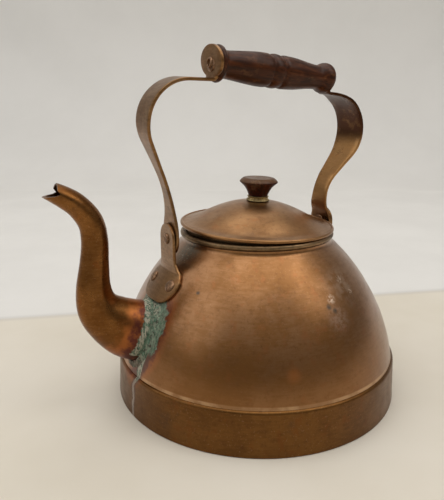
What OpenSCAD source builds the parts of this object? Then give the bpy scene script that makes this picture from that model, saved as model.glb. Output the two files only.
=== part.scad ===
// Copper kettle: domed body on a straight base band, swan-neck spout, lift-off lid
// and a bail handle with a turned wooden grip, swinging on two riveted ears.
// Millimetres. +Z is up and the origin is the centre of the flat base, on the table.
// The spout points along -X. The bail's straps rise over the X axis.

/* [Body] */
// Radius of the base band where it meets the table
base_r = 110; // [108:0.5:112]
// Radius of the base band at its top step
step_r = 108.4; // [108:0.1:109]
// Height of the step above the table
step_h = 31.8; // [26:0.2:36]
// Thickness of the copper sheet
sheet = 1.4; // [1:0.1:1.6]
// Radius of the dome where it leaves the step
dome_foot_r = 106.6; // [106:0.1:107]
// Radius of the dome's curve, seen from the side
dome_curve = 150; // [146:1:154]
// Inward lean of the dome where it leaves the step, in degrees
dome_lean = 10.5; // [9:0.5:12]
// Outer radius of the neck
neck_r = 57.4; // [57:0.1:57.6]
// Radius of the hollow where the dome turns up into the neck
neck_fillet = 4; // [3:0.5:5]
// Thickness of the rolled rim
rim_bead = 4; // [3.6:0.1:4.2]

/* [Lid] */
// Radius of the lid's rolled edge
lid_r = 58.8; // [58.5:0.1:59.2]
// Angle at which the lid sits cocked in the neck, in degrees
lid_tilt = 2.4; // [0:0.1:3]
// Heading of the side that the lid is cocked down to, in degrees from +X
lid_heading = 299; // [0:1:359]
// Radius of the lid's inner collar
collar_r = 53.2; // [52:0.1:53.3]
// Greatest radius of the knob
knob_r = 14.5; // [12:0.5:16]
// Height of the wooden knob
knob_h = 13.6; // [12:0.2:18]

/* [Spout] */
// Thickness of the spout's wall
spout_wall = 1.4; // [1.2:0.1:1.6]
// Radius of the hole through the body into the spout
spout_hole_r = 13; // [8:0.5:14]
// Width of the solder round the spout's root
solder_w = 5; // [3:0.5:7]

/* [Bail] */
// Height of the hinge rivets above the table
hinge_z = 125; // [124:0.5:127]
// Lean of the bail to the -Y side at rest, in degrees
bail_lean = 5; // [0:1:8]
// Thickness of the straps
strap_t = 2.2; // [1.8:0.1:2.2]
// Radius of the hinge rivets
hinge_rivet_r = 2.6; // [2.2:0.1:3]
// Running clearance round the hinge rivets
hinge_play = 0.06; // [0.03:0.01:0.1]
// Gap between a strap and the ear that it swings on
ear_gap = 0.4; // [0.3:0.1:0.6]
// Thickness of the ears
ear_t = 2; // [1.6:0.1:2.4]

/* [Grip] */
// Length of the wooden grip
grip_len = 99.5; // [96:0.5:102]
// Distance of the grip's middle from the kettle's axis, towards the back
grip_x = 7.3; // [6:0.1:9]
// Height of the grip's middle above the table
grip_z = 239; // [238:0.2:241]
// Slope of the grip down to the back, in degrees
grip_slope = 3.6; // [2:0.1:4]
// Radius of the rod through the grip
rod_r = 2.4; // [2:0.1:2.6]

/* [Hidden] */
$fn = 96;

copper = "#8f5b3a";
old_copper = "#6f5038";
brass = "#a58a55";
solder_grey = "#9aa898";
wood = "#43211a";

// A gap that keeps two touching sheets from sharing any space
hair = 0.05;
// Long enough to pass through anything
far = 400;
// Steps along each curved stretch
curve_steps = 5;

// Dome outline: an arc about a centre beyond the axis, then a hollow turning up to the neck
dome_cr = dome_foot_r - dome_curve * cos(dome_lean);
dome_cz = step_h - dome_curve * sin(dome_lean);
fillet_r = neck_r + neck_fillet;
fillet_z = dome_cz + sqrt(pow(dome_curve + neck_fillet, 2) - pow(fillet_r - dome_cr, 2));
dome_top_a = atan2(fillet_z - dome_cz, fillet_r - dome_cr);
neck_h = 0.8;
neck_top = fillet_z + neck_h;

// Base plate: an upturned flange with a chamfer under it, drawn in a little as it rises
plate_gap = 0.3;
plate_flange = 9;
plate_chamfer = 1;
plate_taper = 0.7;

// Base band: a hem at its foot, a rounded shoulder, and a lap that stands up inside the dome
band_hem = 0.5;
band_shoulder = 2.3;
lap_h = 7;
lap_gap = 0.2;

// Rolled rim: a bead on the neck's edge and a sleeve down its inside
bead_r = rim_bead / 2;
bead_cr = neck_r - sheet / 2;
bead_gap = 0.15;
bead_z = neck_top + bead_r + bead_gap;
rim_top = bead_z + bead_r;
sleeve_gap = 0.2;
sleeve_h = 13;
sleeve_out = neck_r - sheet - sleeve_gap;
sleeve_in = sleeve_out - sheet;
sleeve_low = neck_top - sleeve_h;

// Lid heights, before it is tilted
lid_edge_bead = 1.3;
lid_low = rim_top + 0.3;
lid_rise = 17.2;
lid_sheet = 1.3;
lid_brim = lid_low + lid_edge_bead + 0.6;
lid_top = lid_brim + lid_rise;
collar_t = 1.2;
collar_grip = 0.8;
collar_low = sleeve_low + 4;
collar_high = lid_brim - lid_sheet + collar_grip;

// Knob and what holds it, going up: rivet head, washer, lid, ring, knob
stud_r = 2.2;
stud_head_r = 4;
stud_head_h = 1.6;
stud_bite = 8.9;
knob_washer_r = 6.5;
knob_washer_t = 0.8;
washer_low = lid_top - lid_sheet - knob_washer_t - 0.5;
ferrule_low = lid_top + 0.15;
ferrule_h = 3.5;
knob_low = ferrule_low + ferrule_h + hair;

// Straps: distance out from the axis at the hinge, then the bends going up
front_hinge_x = 72.2;
rear_hinge_x = 64.6;
foot_r = 11.8;

// Path of each strap, as [turn in degrees, radius, straight run after it]. A plus turn
// leans the strap outwards. Turns and runs are taken going up from the hinge.
front_path = [[24, 102, 22.2], [-114, 28, 24]];
rear_path = [[-29, 16, 0], [29, 16, 2.3], [39.2, 32, 17], [-129.2, 29.4, 0]];
front_rise = 5.8;
rear_rise = 1.5;

// Half widths of the straps going up, as [height, half width]
front_widths = [[110, foot_r], [125, foot_r], [134, 10.6], [146, 7.2], [160, 5.2], [174, 5.6],
    [188, 8], [204, 10.4], [220, 10.6], [236, 10]];
rear_widths = [[110, foot_r], [125, foot_r], [134, 9.8], [146, 8], [158, 8], [172, 10.3],
    [186, 13.4], [200, 14.1], [212, 14.1], [236, 14]];
// Half widths of the straps' top runs, as [distance from the axis, half width]
front_top_widths = [[34, 6], [46, 6.4], [52, 7.4], [60, 9.2], [70, 10.6], [84, 11], [100, 12]];
rear_top_widths = [[37, 5.8], [53, 6.2], [59, 8], [65, 11.6], [73, 14.1], [85, 14.5], [97, 14.5]];

// Plates that clamp the grip's ends, as [half width, half height, rise of the middle above
// the rod], and the reach of the stems that join them to the straps
front_tab = [14.5, 10.6, 1.2];
rear_tab = [10.4, 10.4, 0];
front_stem = 11;
rear_stem = 11.6;
stem_w = 13;
tab_gap = 0.1;

// Ends of the rod through the grip: a washer, then a peened head with a cup in it
rod_play = 0.1;
grip_washer_r = 5.6;
grip_washer_t = 0.9;
peen_r = 3.9;
peen_h = 1.9;
cup_r = 2;
cup_d = 1.5;

// Outline of an ear seen along X: a round-topped neck over a broad foot with two rivets
neck_half = 11;
foot_half = 21;
foot_z = 94;
foot_lobe = 11.5;
foot_side = foot_half - foot_lobe;
foot_splay = 40;

// Height over which an ear's foot and its upright plate share one bend
fold_up = 1.4;
fold_down = 3;
fold_neck = 6;

// Ear rivets: heads outside, shanks through ear and dome, and burrs inside
rivet_y = 13.5;
rivet_z = 93.5;
ear_rivet_r = 2;
ear_head_r = 4.4;
ear_head_h = 1.7;
ear_burr_r = 3.6;
ear_burr_h = 1;

// Hinge rivets: heads outside the ears and burrs inside the straps
hinge_head_r = 4;
hinge_head_h = 1.3;
hinge_burr_r = 4.4;
hinge_burr_h = 1.1;
hinge_burr_gap = 0.4;

front_ear_x = front_hinge_x + strap_t / 2 + ear_gap;
rear_ear_x = rear_hinge_x + strap_t / 2 + ear_gap;

// Middle line of the spout: [x, z, depth in the XZ plane, breadth along Y, rise angle]
spout_line = [
    [-84, 58, 50, 36, 10],
    [-97, 60.5, 45.5, 33, 13],
    [-109.5, 65.5, 42, 31, 22],
    [-119.4, 73.8, 35.5, 27.5, 40],
    [-127.5, 84.7, 28.5, 24, 62],
    [-129.3, 98, 23.5, 21, 82],
    [-127.4, 115, 19.4, 18.5, 97],
    [-126.3, 130, 17.8, 17.2, 91],
    [-128.4, 142.6, 17, 16.4, 62],
    [-135.6, 153, 15.6, 15.4, 42],
    [-144, 159.5, 14.2, 14.6, 33],
    [-154.6, 165.4, 11.4, 13.4, 26]];
spout_sides = 32;
// How far the spout's hollow is run past its ends
spout_run = 6;
// Last ring of the part of the spout that the solder lies against
root_rings = 12;
// Thickness of the solder, out from the dome
solder_t = 1.6;
// The bite that opens the beak, seen along Y: its corner first, then the cuts to and from it
bite = [[-146.8, 162], [-157.8, 160], [-180, 159], [-180, 190], [-148.8, 190], [-147.6, 167]];

// Grip outline: [distance from the front end, radius]
grip_outline = [[0, 10.9], [0.8, 11.8], [2.3, 12.1], [3.8, 11.5], [5.2, 9.6], [8, 9.2],
    [20, 10.3], [31, 11.3], [39.5, 11.4], [42.3, 10.7], [45, 11.4], [47.5, 11.6], [50, 11.4],
    [52.2, 10.8], [54.5, 11.4], [66, 10.9], [77, 9.4], [85, 8.7], [88.5, 9.3], [91.5, 10.6],
    [95, 10.9], [97.8, 10], [99.5, 8.2]];

// Knob outline: [radius, height above its foot], as shares of its greatest size
knob_outline = [[0.5, 0], [0.53, 0.1], [0.62, 0.3], [0.76, 0.52], [0.94, 0.7], [1, 0.78],
    [0.98, 0.84], [0.9, 0.92], [0.81, 0.98], [0.72, 1], [0, 1]];

// Outline of the ring under the knob: [radius, height]
ferrule_outline = [[0, 0], [8.4, 0], [8.8, 0.6], [8, 1.4], [7.6, 2.2], [8, 3],
    [7.7, ferrule_h], [0, ferrule_h]];

// Lid outline: [radius, height as a share of the dome's rise]
lid_outline = [[0, 1], [8, 0.983], [14, 0.942], [21, 0.843], [29, 0.686], [37, 0.483],
    [43, 0.302], [48, 0.151], [51.5, 0.07], [54.5, 0.035], [56.6, 0.012]];
// Where the lid's rolled edge starts and ends, in degrees round its bead
edge_start = 142;
edge_end = -157;

// Point on a smooth curve through p[i] and p[i + 1], a share t of the way
function smooth_point(p, i, t) =
    let (a = p[max(i - 1, 0)], b = p[i], c = p[i + 1], d = p[min(i + 2, len(p) - 1)])
    0.5 * (2 * b + (c - a) * t + (2 * a - 5 * b + 4 * c - d) * t * t
        + (3 * b - a - 3 * c + d) * t * t * t);

// All the points of a smooth curve through p, with n steps between each two
function smooth(p, n) = concat(
    [for (i = [0:len(p) - 2], k = [0:n - 1]) smooth_point(p, i, k / n)], [p[len(p) - 1]]);

// Arc of points about a centre, in n steps
function arc(c, r, a, b, n) = [for (k = [0:n]) c + r * [cos(a + (b - a) * k / n), sin(a + (b - a) * k / n)]];

// Outline of the dome and neck, pushed out by d, from the step up to the neck's edge
function dome_points(d) = concat(
    arc([dome_cr, dome_cz], dome_curve + d, dome_lean, dome_top_a, 22),
    arc([fillet_r, fillet_z], neck_fillet - d, 180 + dome_top_a, 180, 5),
    [[neck_r + d, neck_top]]);

// Height of the dome's outside at a distance r from the axis
function dome_z(r) = dome_cz + sqrt(pow(dome_curve, 2) - pow(r - dome_cr, 2));

// Radius of the dome's inside at a height z
function dome_in(z) = dome_cr + sqrt(pow(dome_curve - sheet, 2) - pow(z - dome_cz, 2));

function reversed(p) = [for (i = [len(p) - 1:-1:0]) p[i]];

// Turned solid from an outline given as [distance along Z, radius]
module turned(outline) {
    pts = smooth(outline, curve_steps);
    last = pts[len(pts) - 1];
    rotate_extrude()
        polygon(concat([for (p = pts) [p[1], p[0]]], [[0, last[0]], [0, pts[0][0]]]));
}

// Solid under the dome's outline pushed out by d
module dome_solid(d) {
    low = step_h - lap_h;
    rotate_extrude()
        polygon(concat([[0, low], [dome_foot_r + d, low]], dome_points(d), [[0, neck_top]]));
}

// Places its children on the dome: Z out of the sheet, at heading a and height z
module on_dome(a, z) {
    tilt = asin((z - dome_cz) / dome_curve);
    r = dome_cr + dome_curve * cos(tilt);
    rotate([0, 0, a])
        translate([r, 0, z])
            rotate([0, 90 - tilt, 0])
                children();
}

// Round head of a rivet: a cap of radius r and height h
module rivet_head(r, h) {
    ball = (r * r + h * h) / (2 * h);
    intersection() {
        translate([0, 0, h - ball])
            sphere(ball);
        cylinder(r = 2 * r, h = 2 * h);
    }
}

// Body

module base_plate() {
    r = base_r - sheet - plate_gap;
    top_r = r - plate_taper;
    color(copper)
        rotate_extrude()
            polygon([[0, 0], [r - plate_chamfer, 0], [r, plate_chamfer], [top_r, plate_flange],
                [top_r - sheet, plate_flange], [r - sheet, sheet], [0, sheet]]);
}

module base_band() {
    shoulder = [step_r - band_shoulder, step_h - band_shoulder];
    foot = dome_foot_r - sheet - lap_gap;
    top = dome_in(step_h + lap_h) - 2 * lap_gap;
    color(copper)
        rotate_extrude()
            polygon(concat([[base_r - sheet, 0], [base_r - band_hem, 0], [base_r, band_hem]],
                arc(shoulder, band_shoulder, 0, 90, 6),
                [[foot, step_h], [top, step_h + lap_h], [top - sheet, step_h + lap_h],
                 [foot - sheet, step_h - sheet]],
                arc(shoulder, band_shoulder - sheet, 90, 0, 6)));
}

module dome_shell() {
    inner = reversed(dome_points(-sheet));
    color(copper)
        difference() {
            rotate_extrude()
                polygon(concat(dome_points(0), inner,
                    [[dome_foot_r - sheet, step_h + hair], [dome_foot_r, step_h + hair]]));
            translate([-base_r, 0, spout_line[1][1]])
                rotate([0, 90, 0])
                    cylinder(r = spout_hole_r, h = base_r / 2);
            ear_rivet_bores(180);
            ear_rivet_bores(0);
        }
}

module neck_rim() {
    color(old_copper)
        rotate_extrude() {
            difference() {
                translate([bead_cr, bead_z])
                    circle(bead_r);
                translate([0, bead_z - 3 * bead_r])
                    square([sleeve_in, 6 * bead_r]);
            }
            translate([sleeve_in, sleeve_low])
                square([sheet, bead_z - sleeve_low]);
        }
}

// Spout

// One ring of the spout about a point of its middle line, pushed out by d
function spout_ring(s, d) = [for (k = [0:spout_sides - 1])
    let (a = 360 * k / spout_sides, u = (s[2] / 2 + d) * cos(a), v = (s[3] / 2 + d) * sin(a))
    [s[0] + u * sin(s[4]), v, s[1] + u * cos(s[4])]];

spout_path = smooth(spout_line, curve_steps - 1);

// A ring's place on the middle line, moved d further along it
function moved_on(s, d) = s + [-d * cos(s[4]), d * sin(s[4]), 0, 0, 0];

// Closed skin over a row of rings
module skin(rings) {
    n = spout_sides;
    m = len(rings);
    sides = [for (i = [0:m - 2], k = [0:n - 1], half = [0, 1])
        let (a = i * n + k, b = i * n + (k + 1) % n)
        half == 0 ? [a, a + n, b] : [b, a + n, b + n]];
    ends = [[for (k = [0:n - 1]) k], [for (k = [n - 1:-1:0]) (m - 1) * n + k]];
    polyhedron([for (ring = rings, p = ring) p], concat(sides, ends));
}

// The spout's outside up to a given ring of its path, pushed out by d
module spout_solid(d, last) {
    skin([for (i = [0:last]) spout_ring(spout_path[i], d)]);
}

// The hollow of the spout, run a little past both of its ends
module spout_bore() {
    first = spout_path[0];
    last = spout_path[len(spout_path) - 1];
    path = concat([moved_on(first, -spout_run)], spout_path, [moved_on(last, spout_run)]);
    skin([for (s = path) spout_ring(s, -spout_wall)]);
}

module spout() {
    color(copper)
        difference() {
            spout_solid(0, len(spout_path) - 1);
            spout_bore();
            dome_solid(hair);
            rotate([90, 0, 0])
                linear_extrude(far, center = true)
                    polygon(bite);
        }
}

// Bead of solder round the spout's root, with the front ear's foot cut clear of it
module spout_solder() {
    s = spout_line[1];
    half_h = s[2] / 2 + solder_w - 1;
    half_w = s[3] / 2 + solder_w;
    color(solder_grey)
        difference() {
            intersection() {
                dome_solid(solder_t);
                translate([-far, 0, s[1]])
                    rotate([90, 0, 90])
                        linear_extrude(far)
                            scale([half_w, half_h])
                                circle(1, $fn = 36);
            }
            dome_solid(hair);
            spout_solid(0.1, root_rings);
            translate([-far, 0, 0])
                rotate([90, 0, 90])
                    linear_extrude(far)
                        offset(delta = 0.4)
                            ear_outline(dome_z(front_ear_x));
        }
}

// Ears

// Outline of an ear whose upright plate meets the dome at height bend_z
module ear_outline(bend_z) {
    translate([0, hinge_z])
        circle(neck_half);
    translate([-neck_half, bend_z])
        square([2 * neck_half, hinge_z - bend_z]);
    for (m = [-1, 1])
        translate([m * foot_side, foot_z])
            circle(foot_lobe);
    translate([-foot_side, foot_z - foot_lobe])
        square([2 * foot_side, 2 * foot_lobe]);
    splay_y = foot_side + foot_lobe * cos(foot_splay);
    splay_z = foot_z + foot_lobe * sin(foot_splay);
    polygon([[-neck_half, bend_z + fold_neck], [neck_half, bend_z + fold_neck],
        [splay_y, splay_z], [-splay_y, splay_z]]);
}

// Slab of the ear's outline between the heights low and high, t thick from x outwards
module ear_slab(bend_z, x, t, low, high) {
    translate([x, 0, 0])
        rotate([90, 0, 90])
            linear_extrude(t)
                intersection() {
                    ear_outline(bend_z);
                    translate([-foot_half, low])
                        square([2 * foot_half, high - low]);
                }
}

// Ear with the inner face of its upright plate at a distance x from the axis
module ear(x) {
    bend_z = dome_z(x);
    top = hinge_z + neck_half;
    difference() {
        union() {
            intersection() {
                difference() {
                    dome_solid(ear_t + hair);
                    dome_solid(hair);
                }
                ear_slab(bend_z, 0, base_r, 0, bend_z + fold_up);
            }
            difference() {
                ear_slab(bend_z, x, ear_t, bend_z - fold_down, top);
                dome_solid(hair);
            }
        }
        translate([0, 0, hinge_z])
            rotate([0, 90, 0])
                cylinder(r = hinge_rivet_r, h = base_r);
        ear_rivet_bores(0);
    }
}

// Places its children at the two foot rivets of the ear at heading a, Z out of the sheet
module at_ear_rivets(a) {
    tilt = asin((rivet_z - dome_cz) / dome_curve);
    spread = asin(rivet_y / (dome_cr + dome_curve * cos(tilt)));
    for (m = [-1, 1])
        on_dome(a + m * spread, rivet_z)
            children();
}

module ear_rivet_bores(a) {
    at_ear_rivets(a)
        cylinder(r = ear_rivet_r, h = 6 * ear_t, center = true);
}

module ear_rivets(a) {
    burr_top = -sheet - 0.6;
    face = ear_t + hair;
    color(old_copper)
        at_ear_rivets(a) {
            translate([0, 0, face])
                rivet_head(ear_head_r, ear_head_h);
            translate([0, 0, burr_top])
                cylinder(r = ear_rivet_r, h = face - burr_top);
            translate([0, 0, burr_top - ear_burr_h])
                cylinder(r = ear_burr_r, h = ear_burr_h);
        }
}

module front_ear() {
    color(old_copper)
        rotate([0, 0, 180])
            ear(front_ear_x);
}

module rear_ear() {
    color(old_copper)
        ear(rear_ear_x);
}

module front_ear_rivets() {
    ear_rivets(180);
}

module rear_ear_rivets() {
    ear_rivets(0);
}

// Hinge rivet: a round head outside the ear, a shank, and a burr inside the strap
module hinge_rivet(hinge_x, ear_x) {
    face = ear_x + ear_t;
    burr_low = hinge_x - strap_t / 2 - hinge_burr_gap - hinge_burr_h;
    color(brass)
        translate([0, 0, hinge_z])
            rotate([0, 90, 0]) {
                translate([0, 0, face])
                    rivet_head(hinge_head_r, hinge_head_h);
                translate([0, 0, burr_low])
                    cylinder(r = hinge_rivet_r, h = face - burr_low);
                translate([0, 0, burr_low])
                    cylinder(r = hinge_burr_r, h = hinge_burr_h);
            }
}

module front_hinge_rivet() {
    rotate([0, 0, 180])
        hinge_rivet(front_hinge_x, front_ear_x);
}

module rear_hinge_rivet() {
    hinge_rivet(rear_hinge_x, rear_ear_x);
}

// Bail

// Leans the whole bail about its hinge line
module leaned() {
    translate([0, 0, hinge_z])
        rotate([bail_lean, 0, 0])
            translate([0, 0, -hinge_z])
                children();
}

// Straight length of the strap's side view, along the current heading
module run(length) {
    if (length > 0)
        translate([-strap_t / 2, 0])
            square([strap_t, length]);
}

// One bend of the strap's side view, from the current heading
module bend(turn, r) {
    side = sign(turn);
    n = 24;
    sweep = abs(turn);
    translate([side * r, 0])
        intersection() {
            difference() {
                circle(r + strap_t / 2);
                circle(r - strap_t / 2);
            }
            polygon(concat([[0, 0]],
                [for (k = [0:n]) 2 * r * [-side * cos(sweep * k / n), sin(sweep * k / n)]]));
        }
}

// The bends and runs of a path, one after the other
module strap_side(path, i = 0) {
    if (i < len(path)) {
        turn = path[i][0];
        r = path[i][1];
        length = path[i][2];
        side = sign(turn);
        bend(turn, r);
        translate([side * r * (1 - cos(turn)), r * sin(abs(turn))])
            rotate(-turn) {
                run(length);
                translate([0, length])
                    strap_side(path, i + 1);
            }
    }
}

// Outline symmetric about its first axis, from [position, half width] pairs
function width_outline(w) = let (s = smooth(w, 3))
    concat([for (p = s) [p[1], p[0]]], [for (p = reversed(s)) [-p[1], p[0]]]);

// Strap from its foot at the hinge to its top run, in the +X half
module strap_blade(hinge_x, rise, path, widths, top_widths) {
    intersection() {
        rotate([90, 0, 0])
            translate([hinge_x, 0])
                linear_extrude(far, center = true) {
                    translate([-strap_t / 2, hinge_z - foot_r])
                        square([strap_t, foot_r + rise]);
                    translate([0, hinge_z + rise])
                        strap_side(path);
                }
        rotate([90, 0, 90])
            linear_extrude(far) {
                difference() {
                    polygon(width_outline(widths));
                    translate([-far / 2, hinge_z - far])
                        square(far);
                }
                translate([0, hinge_z])
                    circle(foot_r);
            }
        linear_extrude(far)
            rotate(-90)
                polygon(width_outline(top_widths));
    }
}

// Places its children on the grip's axis, Z pointing to the back, at the grip's middle
module on_grip() {
    translate([grip_x, 0, grip_z])
        rotate([0, 90 + grip_slope, 0])
            children();
}

module hinge_bore(x) {
    translate([x, 0, hinge_z])
        rotate([0, 90, 0])
            cylinder(r = hinge_rivet_r + hinge_play, h = 8 * strap_t, center = true);
}

// Rounded plate at one end of the grip, with a stem of the given reach down to its strap
module grip_tab(tab, end, reach) {
    face = end * (grip_len / 2 + tab_gap);
    on_grip()
        translate([0, 0, end > 0 ? face : face - strap_t])
            difference() {
                union() {
                    translate([-tab[2], 0, 0])
                        scale([tab[1], tab[0], 1])
                            cylinder(r = 1, h = strap_t);
                    translate([0, -stem_w / 2, 0])
                        cube([reach, stem_w, strap_t]);
                }
                cylinder(r = rod_r, h = 3 * strap_t, center = true);
            }
}

// Room round the grip that the straps are kept out of, up to one end of it
module grip_room(end) {
    on_grip()
        translate([0, 0, end * (grip_len / 2 + tab_gap)])
            mirror([0, 0, end > 0 ? 1 : 0])
                cylinder(r = grip_len / 3, h = grip_len / 3);
}

module front_strap() {
    color(old_copper)
        leaned() {
            difference() {
                rotate([0, 0, 180])
                    strap_blade(front_hinge_x, front_rise, front_path, front_widths,
                        front_top_widths);
                hinge_bore(-front_hinge_x);
                grip_room(-1);
            }
            grip_tab(front_tab, -1, front_stem);
        }
}

module rear_strap() {
    color(old_copper)
        leaned() {
            difference() {
                strap_blade(rear_hinge_x, rear_rise, rear_path, rear_widths, rear_top_widths);
                hinge_bore(rear_hinge_x);
                grip_room(1);
            }
            grip_tab(rear_tab, 1, rear_stem);
        }
}

module grip() {
    color(wood)
        leaned()
            on_grip()
                difference() {
                    translate([0, 0, -grip_len / 2])
                        turned(grip_outline);
                    cylinder(r = rod_r + rod_play, h = 2 * grip_len, center = true);
                }
}

// Washer at one end of the grip: -1 is the front and 1 the back
module grip_washer(end) {
    face = grip_len / 2 + tab_gap + strap_t;
    color(brass)
        leaned()
            on_grip()
                translate([0, 0, end > 0 ? face : -face - grip_washer_t])
                    difference() {
                        cylinder(r = grip_washer_r, h = grip_washer_t);
                        cylinder(r = rod_r, h = 3 * grip_washer_t, center = true);
                    }
}

module front_grip_washer() {
    grip_washer(-1);
}

module rear_grip_washer() {
    grip_washer(1);
}

module grip_rod() {
    half = grip_len / 2 + tab_gap + strap_t + grip_washer_t;
    color(brass)
        leaned()
            on_grip() {
                cylinder(r = rod_r, h = 2 * half, center = true);
                for (m = [0, 1])
                    mirror([0, 0, m])
                        translate([0, 0, half])
                            difference() {
                                rivet_head(peen_r, peen_h);
                                translate([0, 0, peen_h - cup_d])
                                    cylinder(r = cup_r, h = peen_h);
                            }
            }
}

// Lid

// Tips the lid about the near side of its edge
module cocked() {
    rotate([0, 0, lid_heading])
        translate([bead_cr, 0, lid_low])
            rotate([0, lid_tilt, 0])
                translate([-bead_cr, 0, -lid_low])
                    children();
}

lid_curve = [for (p = smooth(lid_outline, curve_steps)) [p[0], lid_brim + p[1] * lid_rise]];

module lid_cover() {
    edge = [lid_r - lid_edge_bead, lid_low + lid_edge_bead];
    color(copper)
        cocked()
            difference() {
                rotate_extrude()
                    polygon(concat(lid_curve, arc(edge, lid_edge_bead, edge_start, edge_end, 16),
                        [for (p = reversed(lid_curve)) p - [0, lid_sheet]]));
                translate([0, 0, lid_low])
                    cylinder(r = stud_r, h = 2 * lid_rise);
            }
}

module lid_collar() {
    color(old_copper)
        cocked()
            rotate_extrude()
                translate([collar_r - collar_t, collar_low])
                    square([collar_t, collar_high - collar_low]);
}

module knob_ferrule() {
    color(brass)
        cocked()
            translate([0, 0, ferrule_low])
                difference() {
                    rotate_extrude()
                        polygon(ferrule_outline);
                    cylinder(r = stud_r, h = 3 * ferrule_h, center = true);
                }
}

module knob() {
    pts = smooth(knob_outline, curve_steps - 1);
    color(wood)
        cocked()
            translate([0, 0, knob_low])
                difference() {
                    rotate_extrude()
                        polygon(concat([[0, 0]],
                            [for (p = pts) [p[0] * knob_r, p[1] * knob_h]]));
                    cylinder(r = stud_r, h = 2 * (stud_bite + hair), center = true);
                }
}

module knob_stud() {
    color(brass)
        cocked()
            translate([0, 0, washer_low]) {
                cylinder(r = stud_r, h = knob_low + stud_bite - washer_low);
                mirror([0, 0, 1])
                    rivet_head(stud_head_r, stud_head_h);
            }
}

module knob_washer() {
    color(brass)
        cocked()
            translate([0, 0, washer_low])
                difference() {
                    cylinder(r = knob_washer_r, h = knob_washer_t);
                    cylinder(r = stud_r, h = 3 * knob_washer_t, center = true);
                }
}

base_plate();
base_band();
dome_shell();
neck_rim();
spout();
spout_solder();
front_ear();
rear_ear();
front_ear_rivets();
rear_ear_rivets();
front_hinge_rivet();
rear_hinge_rivet();
front_strap();
rear_strap();
grip();
grip_rod();
front_grip_washer();
rear_grip_washer();
lid_cover();
lid_collar();
knob();
knob_ferrule();
knob_stud();
knob_washer();
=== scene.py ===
"""Looks of the copper kettle: smooth worn copper, a turned wooden grip and a crusted spout root.

+Z is up, as in the CAD frame. Shapes are in millimetres until a mesh is made of them. Places in
materials, the stage, the lights and the camera are in metres, unless a comment says mm.
"""

import math

import bmesh
import bpy
import numpy as np
from mathutils import Matrix, Vector, noise


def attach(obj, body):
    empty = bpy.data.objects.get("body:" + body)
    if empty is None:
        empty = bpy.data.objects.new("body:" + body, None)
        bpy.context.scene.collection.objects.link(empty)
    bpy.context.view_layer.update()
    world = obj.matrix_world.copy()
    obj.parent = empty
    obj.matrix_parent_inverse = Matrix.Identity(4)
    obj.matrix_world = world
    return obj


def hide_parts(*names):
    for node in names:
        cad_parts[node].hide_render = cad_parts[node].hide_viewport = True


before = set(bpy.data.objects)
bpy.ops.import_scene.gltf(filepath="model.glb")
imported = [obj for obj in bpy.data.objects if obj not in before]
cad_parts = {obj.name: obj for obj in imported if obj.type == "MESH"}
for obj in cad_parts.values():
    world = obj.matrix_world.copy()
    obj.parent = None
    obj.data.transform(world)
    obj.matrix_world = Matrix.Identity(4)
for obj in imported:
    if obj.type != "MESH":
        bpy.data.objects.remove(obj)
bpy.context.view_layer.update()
MM = 0.001

# ---------------------------------------------------------------- sizes, as in the CAD source
BASE_R, STEP_R, STEP_H, SHEET = 110.0, 108.4, 31.8, 1.4
DOME_FOOT_R, DOME_CURVE, DOME_LEAN = 106.6, 150.0, 10.5
NECK_R, NECK_FILLET = 57.4, 4.0
DOME_CR = DOME_FOOT_R - DOME_CURVE * math.cos(math.radians(DOME_LEAN))
DOME_CZ = STEP_H - DOME_CURVE * math.sin(math.radians(DOME_LEAN))
FILLET_R = NECK_R + NECK_FILLET
FILLET_Z = DOME_CZ + math.sqrt((DOME_CURVE + NECK_FILLET) ** 2 - (FILLET_R - DOME_CR) ** 2)
DOME_TOP = math.degrees(math.atan2(FILLET_Z - DOME_CZ, FILLET_R - DOME_CR))
NECK_TOP = FILLET_Z + 0.8
BEAD_R = 2.0
BEAD_CR = NECK_R - SHEET / 2
BEAD_Z = NECK_TOP + BEAD_R + 0.15
RIM_TOP = BEAD_Z + BEAD_R
SLEEVE_OUT = NECK_R - SHEET - 0.2
SLEEVE_IN = SLEEVE_OUT - SHEET
SLEEVE_LOW = NECK_TOP - 13

LID_R, LID_TILT, LID_HEADING = 58.8, 2.4, 299.0
LID_BEAD, LID_RISE, LID_SHEET = 1.3, 17.2, 1.3
LID_LOW = RIM_TOP + 0.3
LID_BRIM = LID_LOW + LID_BEAD + 0.6
LID_TOP = LID_BRIM + LID_RISE
LID_OUTLINE = [(0, 1), (8, 0.983), (14, 0.942), (21, 0.843), (29, 0.686), (37, 0.483),
               (43, 0.302), (48, 0.151), (51.5, 0.07), (54.5, 0.035), (56.6, 0.012)]
COLLAR_R, COLLAR_T = 53.2, 1.2
FERRULE_LOW = LID_TOP + 0.15
FERRULE_H = 3.5
KNOB_LOW = FERRULE_LOW + FERRULE_H + 0.05
KNOB_R, KNOB_H = 14.5, 13.6

EAR_T, EAR_GAP, EAR_NECK_R = 2.0, 0.4, 11.0
RIVET_Y, RIVET_Z = 13.5, 93.5
HINGE_Z, BURR_GAP = 125.0, 0.4
BAIL_LEAN, STRAP_T, FOOT_R = 5.0, 2.2, 11.8
FRONT_X, REAR_X = 72.2, 64.6
FRONT_RISE, REAR_RISE = 5.8, 1.5
GRIP_LEN, GRIP_X, GRIP_Z, GRIP_SLOPE = 99.5, 7.3, 239.0, 3.6
TAB_GAP = 0.1

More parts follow.
